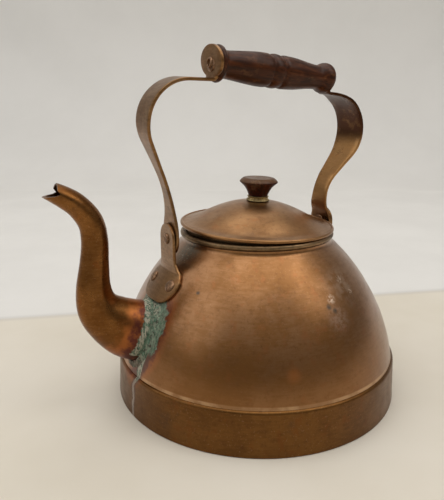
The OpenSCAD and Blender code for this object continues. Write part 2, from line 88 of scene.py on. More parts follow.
SPOUT_LINE = [(-84, 58, 50, 36, 10), (-97, 60.5, 45.5, 33, 13), (-109.5, 65.5, 42, 31, 22),
              (-119.4, 73.8, 35.5, 27.5, 40), (-127.5, 84.7, 28.5, 24, 62),
              (-129.3, 98, 23.5, 21, 82), (-127.4, 115, 19.4, 18.5, 97),
              (-126.3, 130, 17.8, 17.2, 91), (-128.4, 142.6, 17, 16.4, 62),
              (-135.6, 153, 15.6, 15.4, 42), (-144, 159.5, 14.2, 14.6, 33),
              (-154.6, 165.4, 11.4, 13.4, 26)]
SPOUT_WALL = 1.4


# ---------------------------------------------------------------- curves
def smooth_curve(points, steps):
    """Points on a smooth curve through the given ones, with that many steps between each two."""
    p = np.array(points, float)
    out = []
    for i in range(len(p) - 1):
        a, b, c, d = p[max(i - 1, 0)], p[i], p[i + 1], p[min(i + 2, len(p) - 1)]
        for k in range(steps):
            t = k / steps
            out.append(0.5 * (2 * b + (c - a) * t + (2 * a - 5 * b + 4 * c - d) * t * t
                              + (3 * b - a - 3 * c + d) * t ** 3))
    out.append(p[-1])
    return np.array(out)


def arc(centre, r, start, end, steps):
    """Points on an arc, from start to end in degrees."""
    a = np.radians(np.linspace(start, end, steps + 1))
    return np.stack([centre[0] + r * np.cos(a), centre[1] + r * np.sin(a)], -1)


def rough(p, scale, seed=0.0):
    """Smooth noise of about -1 to 1 at a point in mm, with features of the given size."""
    return noise.noise(Vector((p[0] / scale + seed, p[1] / scale - seed, p[2] / scale + 2 * seed)))


def ramp(value, low, high):
    """0 up to low, 1 from high, and straight between them. low may be the larger."""
    return min(1.0, max(0.0, (value - low) / (high - low)))


# ---------------------------------------------------------------- meshes
def finished(name, mesh, material, body, stands_for, sharp=35):
    """A mesh made into a piece of the kettle that rides on a body and replaces CAD nodes."""
    for polygon in mesh.polygons:
        polygon.use_smooth = True
    mesh.set_sharp_from_angle(angle=math.radians(sharp))
    obj = bpy.data.objects.new(name, mesh)
    bpy.context.scene.collection.objects.link(obj)
    obj.data.materials.append(material)
    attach(obj, body)
    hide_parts(*stands_for)
    return obj


def mesh_of(name, verts, faces):
    """A mesh in metres from points in mm, with its faces turned outwards."""
    mesh = bpy.data.meshes.new(name)
    mesh.from_pydata([tuple(v) for v in np.asarray(verts, float) * MM], [], faces)
    mesh.validate()
    bm = bmesh.new()
    bm.from_mesh(mesh)
    bmesh.ops.recalc_face_normals(bm, faces=bm.faces)
    bm.to_mesh(mesh)
    bm.free()
    return mesh


def turned(outline, sides, push=None, closed=True):
    """Points and faces of an outline of (radius, height) turned round Z.

    push takes a point and its radius and height and gives how far it moves outwards."""
    pts = np.array(outline, float)
    n = len(pts)
    verts, faces, rows = [], [], []
    for r, z in pts:
        if r < 1e-6:
            rows.append([len(verts)] * sides)
            verts.append((0.0, 0.0, z))
            continue
        row = []
        for k in range(sides):
            a = 2 * math.pi * k / sides
            x, y = math.cos(a), math.sin(a)
            d = push((r * x, r * y, z)) if push else 0.0
            row.append(len(verts))
            verts.append(((r + d) * x, (r + d) * y, z))
        rows.append(row)
    last = n if closed else n - 1
    for i in range(last):
        a, b = rows[i], rows[(i + 1) % n]
        for k in range(sides):
            q = [a[k], a[(k + 1) % sides], b[(k + 1) % sides], b[k]]
            q = list(dict.fromkeys(q))
            if len(q) > 2:
                faces.append(tuple(q))
    return np.array(verts), faces


def moved(verts, matrix):
    """Points in mm moved by a matrix."""
    m = np.array(matrix)
    return verts @ m[:3, :3].T + m[:3, 3]


def bent_plate(name, outline, thickness, bevel, cuts, cross_cuts, place):
    """A plate cut to a flat outline, with rounded edges, then bent by place(u, v, w).

    cuts and cross_cuts are the v and u of the lines along which it is divided.

    u and v lie in the sheet and w goes through it, from minus to plus half its thickness."""
    bm = bmesh.new()
    ring = [bm.verts.new((u, v, -thickness / 2)) for u, v in outline]
    base = bm.faces.new(ring)
    grown = bmesh.ops.extrude_face_region(bm, geom=[base])
    top = [e for e in grown["geom"] if isinstance(e, bmesh.types.BMVert)]
    bmesh.ops.translate(bm, verts=top, vec=(0, 0, thickness))
    bm.normal_update()
    rims = [e for e in bm.edges if abs(e.verts[0].co.z - e.verts[1].co.z) < 1e-6]
    bmesh.ops.bevel(bm, geom=rims, offset=bevel, segments=3, profile=0.5, affect="EDGES",
                    clamp_overlap=True)
    for at, normal in ([((0, v, 0), (0, 1, 0)) for v in cuts]
                       + [((u, 0, 0), (1, 0, 0)) for u in cross_cuts]):
        bmesh.ops.bisect_plane(bm, geom=bm.verts[:] + bm.edges[:] + bm.faces[:], plane_co=at,
                               plane_no=normal, dist=1e-4)
    for vert in bm.verts:
        vert.co = Vector(place(*vert.co)) * MM
    bmesh.ops.recalc_face_normals(bm, faces=bm.faces)
    mesh = bpy.data.meshes.new(name)
    bm.to_mesh(mesh)
    bm.free()
    return mesh


# ---------------------------------------------------------------- material nodes
class Nodes:
    """Short ways to write a material's nodes. Each call gives the socket of its result."""

    def __init__(self, name):
        self.material = bpy.data.materials.new(name)
        self.material.use_nodes = True
        self.tree = self.material.node_tree
        self.tree.nodes.clear()
        self.shader = self.tree.nodes.new("ShaderNodeBsdfPrincipled")
        out = self.tree.nodes.new("ShaderNodeOutputMaterial")
        self.tree.links.new(self.shader.outputs[0], out.inputs["Surface"])
        self.place = self.tree.nodes.new("ShaderNodeTexCoord").outputs["Object"]

    def put(self, socket, value):
        if isinstance(value, bpy.types.NodeSocket):
            self.tree.links.new(value, socket)
        elif value is not None:
            socket.default_value = value

    def math(self, operation, a, b=None):
        node = self.tree.nodes.new("ShaderNodeMath")
        node.operation = operation
        self.put(node.inputs[0], a)
        self.put(node.inputs[1], b)
        return node.outputs[0]

    def add(self, first, *others):
        for other in others:
            first = self.math("ADD", first, other)
        return first

    def times(self, first, *others):
        for other in others:
            first = self.math("MULTIPLY", first, other)
        return first

    def less(self, a, b):
        return self.math("SUBTRACT", a, b)

    def span(self, value, low, high, out_low=0.0, out_high=1.0):
        """Maps low..high to out_low..out_high smoothly, and holds it beyond them."""
        node = self.tree.nodes.new("ShaderNodeMapRange")
        node.interpolation_type = "SMOOTHSTEP"
        for socket, v in zip(node.inputs, (value, low, high, out_low, out_high)):
            self.put(socket, v)
        return node.outputs[0]

    def mix(self, share, a, b):
        """Colour a, with colour b in its place where share is 1."""
        node = self.tree.nodes.new("ShaderNodeMix")
        node.data_type = "RGBA"
        self.put(node.inputs[0], share)
        for socket, value in ((node.inputs[6], a), (node.inputs[7], b)):
            if isinstance(value, tuple):
                value = (*value, 1.0)
            self.put(socket, value)
        return node.outputs[2]

    def stretched(self, scale, turn=(0, 0, 0), shift=(0, 0, 0), place=None):
        """The place turned, scaled and shifted, which draws a pattern out along an axis."""
        node = self.tree.nodes.new("ShaderNodeMapping")
        self.put(node.inputs["Vector"], place or self.place)
        node.inputs["Location"].default_value = shift
        node.inputs["Rotation"].default_value = turn
        node.inputs["Scale"].default_value = scale
        return node.outputs[0]

    def noise(self, size, detail=3.0, rough_=0.55, place=None, twist=0.0):
        """Noise with features of about that size in mm, from 0 to 1."""
        node = self.tree.nodes.new("ShaderNodeTexNoise")
        self.put(node.inputs["Vector"], place or self.place)
        node.inputs["Scale"].default_value = 1.0 / (size * MM)
        node.inputs["Detail"].default_value = detail
        node.inputs["Roughness"].default_value = rough_
        node.inputs["Distortion"].default_value = twist
        return node.outputs["Fac"]

    def cells(self, size, place=None):
        """Distance from the nearest of many points about that many mm apart."""
        node = self.tree.nodes.new("ShaderNodeTexVoronoi")
        self.put(node.inputs["Vector"], place or self.place)
        node.inputs["Scale"].default_value = 1.0 / (size * MM)
        return node.outputs["Distance"]

    def near(self, point, inner, outer):
        """1 within inner mm of a point in mm, falling to 0 at outer mm from it."""
        node = self.tree.nodes.new("ShaderNodeVectorMath")
        node.operation = "DISTANCE"
        self.put(node.inputs[0], self.place)
        node.inputs[1].default_value = [c * MM for c in point]
        return self.span(node.outputs["Value"], outer * MM, inner * MM)

    def xyz(self):
        node = self.tree.nodes.new("ShaderNodeSeparateXYZ")
        self.put(node.inputs[0], self.place)
        return node.outputs

    def bump(self, height, depth, strength):
        """Bump of that depth in mm where height goes from 0 to 1."""
        node = self.tree.nodes.new("ShaderNodeBump")
        node.inputs["Strength"].default_value = strength
        node.inputs["Distance"].default_value = depth * MM
        self.put(node.inputs["Height"], height)
        return node.outputs[0]

    def finish(self, colour, roughness, normal, metallic, coat=None):
        """Sets the shader. coat gives the weight and roughness of a clear coat."""
        self.put(self.shader.inputs["Base Color"], colour)
        self.put(self.shader.inputs["Roughness"], roughness)
        self.put(self.shader.inputs["Normal"], normal)
        self.put(self.shader.inputs["Metallic"], metallic)
        if coat:
            self.shader.inputs["Coat Weight"].default_value = coat[0]
            self.shader.inputs["Coat Roughness"].default_value = coat[1]
        return self.material


def copper(name, light, mid, dark, patina=0.5, shine=(0.3, 0.5), root=False, coat=None,
           extra=None):
    """Aged copper: an even patina with fine grain, small warm patches and polishing marks.

    root adds the crust, verdigris and heat colours round the spout's root and down its drip.
    extra takes the nodes, the height and the colour so far and gives a new colour."""
    n = Nodes(name)
    x, y, z = n.xyz()
    broad = n.noise(52, 3, 0.5, twist=0.3)
    patches = n.noise(12, 5, 0.6, twist=0.5)
    grain = n.noise(2.8, 4, 0.65)
    specks = n.noise(1.1, 2, 0.6)
    marks = n.noise(8, 4, 0.6, place=n.stretched((1, 1, 6)))
    tone = n.add(n.times(broad, 0.42), n.times(patches, 0.30), n.times(marks, 0.28))
    colour = n.mix(n.span(tone, 0.40, 0.60), light, mid)
    colour = n.mix(n.span(grain, 0.50, 0.70, 0, 0.45), colour, dark)
    warm = n.span(n.noise(8, 4, 0.55, place=n.stretched((1, 1, 0.8), shift=(3, 1, 2))), 0.56, 0.70)
    colour = n.mix(n.times(warm, 0.42), colour, (light[0] * 1.02, light[1] * 0.72, light[2] * 0.45))
    grime = n.span(n.noise(26, 5, 0.65, place=n.stretched((1, 1, 1), shift=(7, 5, 1))), 0.57, 0.74)
    colour = n.mix(n.times(grime, patina), colour, (dark[0] * 0.72, dark[1] * 0.76, dark[2] * 0.9))
    spots = n.span(n.cells(6.3, place=n.stretched((1, 1, 0.8))), 0.075, 0.02)
    colour = n.mix(n.times(spots, 0.42), colour, (dark[0] * 0.4, dark[1] * 0.38, dark[2] * 0.4))
    colour = n.mix(n.span(specks, 0.60, 0.74, 0, 0.15), colour, (0.60, 0.38, 0.22))
    rough_ = n.add(n.span(patches, 0.3, 0.72, shine[0], shine[1]),
                   n.times(n.less(marks, 0.5), 0.08))
    rough_ = n.add(rough_, n.times(grime, 0.06))
    height = n.add(n.times(marks, 0.30), n.add(n.times(grain, 0.25), n.times(patches, 0.25)))
    metallic = n.span(grime, 0, 1, 0.94, 0.84)
    if extra:
        colour = extra(n, z, colour)
    if root:
        colour, rough_, metallic, height = root_crust(n, x, y, z, colour, rough_, metallic, height)
    normal = n.bump(height, 0.12, 0.5)
    return n.finish(colour, rough_, normal, metallic, coat)


# Middle and half size of the spout's root on the dome, along Y and Z
ROOT_MID, ROOT_HALF = (-0.0016, 0.0625), (0.0208, 0.0265)


def root_crust(n, x, y, z, colour, rough_, metallic, height):
    """Heat colours, verdigris and pale salts round the spout's root, and the drip below it."""
    wobble = n.less(n.noise(9, 4, 0.6), 0.5)
    fine = n.less(n.noise(2.6, 4, 0.65), 0.5)
    side = n.span(x, -0.060, -0.072)
    # How far a place stands off the dome, which is 0 on the dome itself
    above = n.less(z, DOME_CZ * MM)
    reach = n.math("SQRT", n.less((DOME_CURVE * MM) ** 2, n.times(above, above)))
    out = n.math("SQRT", n.add(n.times(x, x), n.times(y, y)))
    off = n.less(out, n.add(reach, DOME_CR * MM))
    on_dome = n.span(n.add(off, n.times(fine, 0.006)), 0.0095, 0.0062)
    # Distance from the root's ellipse, as a share of its size
    across = n.math("DIVIDE", n.less(y, ROOT_MID[0]), ROOT_HALF[0])
    up = n.math("DIVIDE", n.less(z, ROOT_MID[1]), ROOT_HALF[1])
    ring = n.math("SQRT", n.add(n.times(across, across), n.times(up, up)))
    ring = n.add(ring, n.add(n.times(wobble, 0.42), n.times(fine, 0.22)))
    near = n.span(y, 0.010, -0.006)
    spread = n.add(off, n.times(wobble, 0.024))
    # Orange, then maroon, where the metal was heated
    orange = n.times(n.span(ring, 1.62, 1.20), side, n.span(spread, 0.027, 0.017))
    orange = n.times(orange, n.span(near, 0, 1, 0.4, 1.0))
    colour = n.mix(n.times(orange, 0.72), colour, (0.40, 0.125, 0.03))
    maroon = n.times(n.span(ring, 1.38, 1.16), side, n.span(spread, 0.0185, 0.0105))
    maroon = n.times(maroon, n.span(n.noise(5, 4, 0.65), 0.34, 0.54, 0.35, 1.0))
    maroon = n.times(maroon, near, n.span(z, 0.092, 0.080, 0.3, 1.0))
    colour = n.mix(n.times(maroon, 0.88), colour, (0.105, 0.026, 0.022))
    rough_ = n.add(rough_, n.times(maroon, 0.16))
    # The drip: a narrow band that wanders down the dome and the base band
    sway = n.times(n.less(n.noise(11, 2, 0.5), 0.5), 0.006)
    middle = n.span(z, 0.0235, 0.0315, -0.0090, -0.0135)
    away = n.math("ABSOLUTE", n.less(n.less(y, middle), n.add(sway, n.times(fine, 0.0016))))
    width = n.span(z, 0.020, 0.060, 0.0011, 0.0042)
    share = n.math("DIVIDE", away, width)
    drip = n.times(n.span(share, 1.25, 0.7), n.span(z, 0.066, 0.058), on_dome)
    drip = n.times(drip, side)
    stain = n.times(n.span(share, 3.4, 1.0), n.span(z, 0.068, 0.060), on_dome)
    stain = n.times(stain, side)
    stain = n.times(stain, n.span(z, 0.004, 0.030, 0.35, 0.8))
    colour = n.mix(stain, colour, (0.105, 0.045, 0.028))
    # Verdigris on the near side of the root, and salts close to the spout
    green = n.times(n.span(ring, 1.24, 1.10), side, on_dome)
    green = n.times(green, n.span(z, 0.046, 0.057))
    green = n.times(green, n.span(n.add(y, n.times(wobble, 0.02)), 0.020, 0.004, 0.12, 1.0))
    drip = n.times(drip, n.span(z, 0.0, 0.03, 0.62, 1.0))
    cover = n.span(n.math("MAXIMUM", green, drip), 0.12, 0.6)
    patches = n.noise(3.4, 4, 0.65, place=n.stretched((1.25, 1.25, 0.8)))
    tint = n.mix(n.span(patches, 0.36, 0.62), (0.038, 0.09, 0.05), (0.125, 0.205, 0.135))
    flecks = n.span(n.noise(1.5, 3, 0.65, place=n.stretched((1.4, 1.4, 0.6))), 0.50, 0.62)
    tint = n.mix(n.times(flecks, 0.75), tint, (0.055, 0.05, 0.038))
    salts = n.noise(2.4, 4, 0.65, place=n.stretched((1.7, 1.7, 0.42)))
    salty = n.math("MAXIMUM", n.span(off, 0.0022, 0.0048), n.span(z, 0.052, 0.040))
    tint = n.mix(n.times(n.span(salts, 0.44, 0.56), n.span(salty, 0, 1, 0.22, 0.95)), tint,
                 (0.42, 0.39, 0.30))
    tint = n.mix(n.times(n.span(z, 0.034, 0.026), 0.8), tint, (0.30, 0.22, 0.185))
    colour = n.mix(cover, colour, tint)
    rough_ = n.add(rough_, n.times(cover, 0.42))
    metallic = n.times(metallic, n.less(1.0, n.times(cover, 0.96)))
    height = n.add(height, n.times(cover, n.noise(1.4, 4, 0.7), 3.4))
    return colour, rough_, metallic, height


# Single marks on the dome: (point, inner and outer radius) in mm as near() takes them, the span
# that breaks the mark up into streaks, its strength and its colour. The three small pale marks
# are painted glints, and the broad pale one is a painted sheen; the rest are marks on the metal.
PAINTED_GLINT = (0.44, 0.60), 0.8, (0.86, 0.66, 0.50)
PIT = (0.36, 0.52, 0.45, 1.0), 0.85, (0.05, 0.045, 0.035)
DOME_SPOTS = [
    (((20.7, -71.9, 99.8), 0.4, 4.2), *PAINTED_GLINT),
    (((27, -76.7, 91.4), 0.4, 3.6), *PAINTED_GLINT),
    (((5.6, -81.4, 91), 0.4, 4.6), *PAINTED_GLINT),
    # A broad pale patch of painted sheen
    (((6.8, -88.2, 79.5), 2, 13), (0.34, 0.66, 0.2, 1.0), 0.42, (0.66, 0.45, 0.33)),
    (((1.6, -84.3, 87.1), 0.5, 2.9), *PIT),
    (((5.5, -86, 84.1), 0.5, 2.7), *PIT),
    (((-70, -36.3, 94.8), 0.5, 2.0), *PIT),
    (((-34.2, -95.3, 52.2), 1, 7), None, 0.5, (0.52, 0.17, 0.035)),
    (((-60, -4, 115), 4, 18), (0.30, 0.55, 0.35, 1.0), 0.82, (0.115, 0.105, 0.075))]


def dome_marks(n, z, colour):
    """Marks on the dome: painted glints and a painted sheen on its right, dark pits, a warm spot
    and a stain at the neck.

    The lower half is painted darker and browner, as shade for the dim surroundings it reflects,
    with a painted highlight along the dome's foot, where it meets the base band."""
    # Painted shade: darker and browner lower down, for the dim surroundings that the lower dome
    # reflects
    colour = n.mix(n.span(z, 0.078, 0.050, 0, 0.5), colour, (0.20, 0.074, 0.006))
    # Painted highlight: a pale, broken line along the dome's foot, where it meets the base band
    ledge_highlight = n.times(n.span(z, 0.0345, 0.0335), n.span(n.noise(14, 3, 0.6), 0.40, 0.60, 0.35, 1.0))
    colour = n.mix(n.times(ledge_highlight, 0.7), colour, (0.58, 0.36, 0.19))
    streaky = n.noise(2.2, 4, 0.65)
    # Painted sheen: a soft pale patch on the dome's right, where a light is reflected
    painted_sheen = n.times(n.near((22, -73, 95), 3, 21), n.span(n.noise(9, 4, 0.6), 0.40, 0.62))
    colour = n.mix(n.times(painted_sheen, 0.36), colour, (0.66, 0.47, 0.33))
    for spot, streaks, strength, tone in DOME_SPOTS:
        share = n.near(*spot)
        if streaks:
            share = n.times(share, n.span(streaky, *streaks))
        colour = n.mix(n.times(share, strength), colour, tone)
    salt = n.times(n.near((-62, -4, 112), 2, 12), n.span(n.noise(1.8, 3, 0.6), 0.58, 0.66))
    return n.mix(n.times(salt, 0.7), colour, (0.50, 0.50, 0.42))


def rear_strap_painted_shade(n, z, colour):
    """Painted shade, near black, in the hollow of the rear strap's upper bend; lighter and warmer
    below.
    """
    # Painted shade in the upper bend's hollow, broken up a little by noise
    bend_shade = n.times(n.span(z, 0.184, 0.198), n.span(n.noise(9, 3, 0.6), 0.66, 0.52, 0.82, 1.0))
    colour = n.mix(n.times(n.span(z, 0.205, 0.185), 0.35), colour, (0.46, 0.24, 0.085))
    foot = n.span(z, 0.150, 0.135)
    colour = n.mix(n.times(foot, 0.5), colour, (0.13, 0.06, 0.03))
    return n.mix(n.times(bend_shade, 0.94), colour, (0.04, 0.010, 0.003))


body_copper = copper("copper_body", (0.335, 0.158, 0.058), (0.245, 0.099, 0.018),
                     (0.165, 0.060, 0.009), 0.35, (0.30, 0.37), root=True, coat=(0.6, 0.28),
                     extra=dome_marks)
# The band's tones are darker than the dome's: partly painted shade for the shadowed floor it
# reflects, partly darker tarnish
band_copper = copper("copper_band", (0.170, 0.072, 0.014), (0.122, 0.049, 0.008),
                     (0.085, 0.032, 0.005), 0.40, (0.34, 0.44), root=True, coat=(0.15, 0.30))
spout_copper = copper("copper_spout", (0.225, 0.092, 0.021), (0.14, 0.051, 0.007),
                      (0.10, 0.036, 0.006), 0.35, (0.26, 0.34), root=True, coat=(0.12, 0.26))
lid_copper = copper("copper_lid", (0.375, 0.19, 0.07), (0.275, 0.125, 0.037),
                    (0.19, 0.085, 0.026), 0.40, (0.33, 0.42), coat=(0.4, 0.36))
strap_copper = copper("copper_strap", (0.31, 0.168, 0.068), (0.195, 0.094, 0.031),
                      (0.105, 0.048, 0.015), 0.5, (0.30, 0.40), coat=(0.2, 0.25))
# The rear strap's copper, with painted shade in the hollow of its upper bend
rear_strap_copper = copper("copper_strap_rear", (0.42, 0.225, 0.088), (0.29, 0.145, 0.048),
                           (0.17, 0.08, 0.024), 0.45, (0.26, 0.38), coat=(0.08, 0.25),
                           extra=rear_strap_painted_shade)
dark_rim = copper("copper_rim", (0.30, 0.19, 0.10), (0.15, 0.10, 0.05), (0.06, 0.05, 0.03),
                  0.6, (0.34, 0.5))


def tarnished(name, sizes, light, mid, dark, shine, bump, metallic):
    """Small tarnished metal parts. sizes are those of the tarnish and its fine specks in mm."""
    n = Nodes(name)
    tarnish = n.noise(sizes[0], 4, 0.62, twist=0.5)
    fine = n.noise(sizes[1], 3, 0.6)
    colour = n.mix(n.span(tarnish, 0.36, 0.62), light, mid)
    colour = n.mix(n.span(fine, 0.58, 0.72, 0, 0.5), colour, dark)
    normal = n.bump(n.add(tarnish, n.times(fine, 0.4)), *bump)
    return n.finish(colour, n.span(tarnish, 0.3, 0.7, *shine), normal, metallic)


def wood(name, axis_turn, light, mid, dark, worn, tip=None):
    """Dark varnished wood, its grain along the turned axis, with worn and rubbed places.

    tip gives the heights in mm between which the wood becomes worn through to a pale tone."""
    n = Nodes(name)
    z = n.xyz()[2]
    along = n.stretched((1, 1, 1), turn=axis_turn)
    grain = n.noise(2.2, 5, 0.6, place=n.stretched((1, 1, 0.09), place=along), twist=0.4)
    pores = n.noise(0.55, 3, 0.6, place=n.stretched((1, 1, 0.05), place=along))
    broad = n.noise(14, 4, 0.6, twist=0.5)
    colour = n.mix(n.span(grain, 0.34, 0.62), dark, mid)
    colour = n.mix(n.times(n.span(grain, 0.55, 0.75), 0.7), colour, light)
    colour = n.mix(n.span(broad, 0.40, 0.66, 0, 0.62), colour, dark)
    colour = n.mix(n.span(pores, 0.60, 0.72, 0, 0.5), colour, (0.012, 0.006, 0.004))
    rubbed = n.span(n.noise(7, 5, 0.65, place=n.stretched((1, 1, 0.6), place=along)), 0.54, 0.68)
    colour = n.mix(n.times(rubbed, 0.35), colour, worn)
    height = n.add(n.times(grain, 0.5), n.add(n.times(pores, -0.35), n.times(broad, 0.3)))
    if tip:
        worn_edge = n.times(n.span(z, tip[0] * MM, tip[1] * MM), n.span(rubbed, 0, 1, 0.55, 1.0))
        colour = n.mix(worn_edge, colour, worn)
    n.shader.inputs["Specular IOR Level"].default_value = 0.12
    roughness = n.span(broad, 0.3, 0.7, 0.34, 0.50)
    return n.finish(colour, roughness, n.bump(height, 0.12, 0.5), 0.0, coat=(0.14, 0.2))


def crust():
    """Verdigris and pale salts on the lumpy solder, browner below and on the far side."""
    n = Nodes("solder_crust")
    y, z = n.xyz()[1:3]
    lumps = n.noise(2.0, 5, 0.65, twist=0.5)
    streak = n.noise(2.6, 4, 0.65, place=n.stretched((1.6, 1.6, 0.45)))
    patches = n.noise(4.5, 4, 0.6)
    colour = n.mix(n.span(patches, 0.40, 0.60), (0.045, 0.10, 0.06), (0.15, 0.24, 0.165))
    salty = n.span(y, -0.020, -0.006, 0.30, 0.95)
    colour = n.mix(n.times(n.span(streak, 0.42, 0.56), salty), colour, (0.46, 0.42, 0.32))
    colour = n.mix(n.span(lumps, 0.50, 0.62, 0, 0.85), colour, (0.05, 0.038, 0.028))
    low = n.span(z, 0.050, 0.040)
    colour = n.mix(n.times(low, 0.6), colour, (0.085, 0.04, 0.028))
    far_side = n.span(y, 0.004, 0.016)
    colour = n.mix(n.times(far_side, 0.6), colour, (0.17, 0.09, 0.05))
    height = n.add(lumps, n.times(n.cells(1.6), 0.5))
    return n.finish(colour, n.span(lumps, 0.3, 0.7, 0.72, 0.92), n.bump(height, 0.6, 0.9), 0.05)


brass_metal = tarnished("brass_tarnished", (3.5, 0.8), (0.60, 0.46, 0.22), (0.24, 0.17, 0.075),
                        (0.10, 0.075, 0.035), (0.30, 0.55), (0.12, 0.6), 0.92)
rivet_copper = tarnished("copper_rivet", (2.6, 0.7), (0.36, 0.21, 0.12), (0.16, 0.092, 0.052),
                         (0.06, 0.035, 0.02), (0.36, 0.58), (0.14, 0.7), 0.9)
grip_wood = wood("wood_grip", (0, math.radians(-90 - GRIP_SLOPE), 0), (0.13, 0.042, 0.012),
                 (0.075, 0.020, 0.005), (0.030, 0.008, 0.002), (0.19, 0.08, 0.03))
knob_wood = wood("wood_knob", (0, 0, 0), (0.13, 0.018, 0.005), (0.05, 0.005, 0.001),
                 (0.016, 0.002, 0.001), (0.20, 0.11, 0.055), tip=(159.6, 161.4))
crust_material = crust()

# ---------------------------------------------------------------- body
DENTS = [((30, -84, 86), 13, 0.30), ((-34, -88, 82), 16, 0.22), ((-5, -98, 62), 22, 0.16),
         ((70, -52, 84), 12, 0.22), ((20, 88, 84), 17, 0.3), ((-60, 62, 90), 14, 0.25),
         ((55, -82, 60), 11, 0.18)]


def dome_push(p):
    """Small unevenness of the hand-worked dome, fading out at its foot and neck."""
    fade = ramp(p[2], 33, 45) * ramp(p[2], 118, 104)
    d = 0.16 * rough(p, 34, 1.7) + 0.05 * rough(p, 12, 4.1)
    for c, size, depth in DENTS:
        far2 = (p[0] - c[0]) ** 2 + (p[1] - c[1]) ** 2 + (p[2] - c[2]) ** 2
        d -= depth * math.exp(-far2 / (2 * (size * 0.5) ** 2))
    return d * fade


def dome_outline(d, steps):
    """Outline of the dome and neck pushed out by d, from the step to the neck's edge."""
    return np.concatenate([
        arc((DOME_CR, DOME_CZ), DOME_CURVE + d, DOME_LEAN, DOME_TOP, steps),
        arc((FILLET_R, FILLET_Z), NECK_FILLET - d, 180 + DOME_TOP, 180, 8)[1:],
        [[NECK_R + d, NECK_TOP]]])


def build_body():
    """The dome, the base band, the base sheet and the neck's bead."""
    outer = dome_outline(0, 84)
    inner = dome_outline(-SHEET, 40)[::-1]
    foot = [[DOME_FOOT_R - SHEET, STEP_H + 0.05], [DOME_FOOT_R, STEP_H + 0.05]]
    verts, faces = turned(np.concatenate([outer, inner, foot]), 256, dome_push)
    finished("dome", mesh_of("dome", verts, faces), body_copper, "kettle_body",
             ["dome_shell"])

    shoulder = (STEP_R - 2.3, STEP_H - 2.3)
    wall = [[BASE_R - 0.12 - 1.45 * t, 0.9 + (STEP_H - 3.4) * t] for t in np.linspace(0, 1, 22)]
    outline = np.concatenate([
        arc((BASE_R - 0.95, 0.83), 0.83, -90, 0, 5), wall,
        arc(shoulder, 2.28, 8, 90, 10),
        [[DOME_FOOT_R - 0.1, STEP_H - 0.05], [DOME_FOOT_R - SHEET - 0.2, STEP_H - 0.3],
         [103.4, 38.6], [102.0, 38.6], [103.6, STEP_H - SHEET]],
        arc(shoulder, 0.9, 90, 0, 5),
        [[BASE_R - SHEET - 0.2, 0.9], [BASE_R - SHEET - 0.2, 0.0]]])

    def band_push(p):
        fade = ramp(p[2], 1.5, 6.5) * ramp(p[2], 31.2, 28.2)
        return fade * (0.10 * rough(p, 30, 2.2) - 0.10 + 0.03 * rough(p, 9, 8.0))

    verts, faces = turned(outline, 256, band_push)
    finished("base_band_wall", mesh_of("band", verts, faces), band_copper, "kettle_body",
             ["base_band"])

    r = BASE_R - SHEET - 0.45
    rings = [[0, 0.35], [30, 0.3], [60, 0.2], [84, 0.05], [98, 0.0], [r - 2, 0.0]]
    outline = np.concatenate([
        rings, arc((r - 1.0, 1.0), 1.0, -70, 0, 4),
        [[r - 0.7, 8.9], [r - 2.0, 8.9], [r - SHEET - 0.2, SHEET + 0.6],
         [r - SHEET - 1.2, SHEET], [60, SHEET + 0.2], [0, SHEET + 0.35]]])
    verts, faces = turned(outline, 128, closed=False)
    finished("base_sheet", mesh_of("base", verts, faces), dark_rim, "kettle_body",
             ["base_plate"])

    bead = arc((BEAD_CR, BEAD_Z), BEAD_R, -142, 128, 26)
    outline = np.concatenate([bead, [[SLEEVE_IN + 0.15, BEAD_Z + 1.0], [SLEEVE_IN, BEAD_Z - 0.4]],
                              [[SLEEVE_IN, SLEEVE_LOW + 0.4], [SLEEVE_IN + 0.5, SLEEVE_LOW],
                               [SLEEVE_OUT - 0.4, SLEEVE_LOW], [SLEEVE_OUT, SLEEVE_LOW + 0.4]]])

    def bead_push(p):
        return 0.12 * rough(p, 11, 5.5) * (1.0 if p[2] > NECK_TOP else 0.0) - 0.08

    verts, faces = turned(outline, 240, bead_push)
    finished("neck_bead", mesh_of("bead", verts, faces), dark_rim, "kettle_body",
             ["neck_rim"])


# ---------------------------------------------------------------- spout
SPOUT_SIDES = 72


def spout_ring(s, d):
    """One ring of the spout: an ellipse drawn in a little at its four diagonals."""
    ring = []
    lift = math.radians(s[4])
    for k in range(SPOUT_SIDES):
        a = 2 * math.pi * k / SPOUT_SIDES
        u, v = math.cos(a), math.sin(a)
        squash = 1 - 0.035 * math.sin(2 * a) ** 2
        u, v = (s[2] / 2 + d) * u * squash, (s[3] / 2 + d) * v * squash
        ring.append((s[0] + u * math.sin(lift), v, s[1] + u * math.cos(lift)))
    return ring


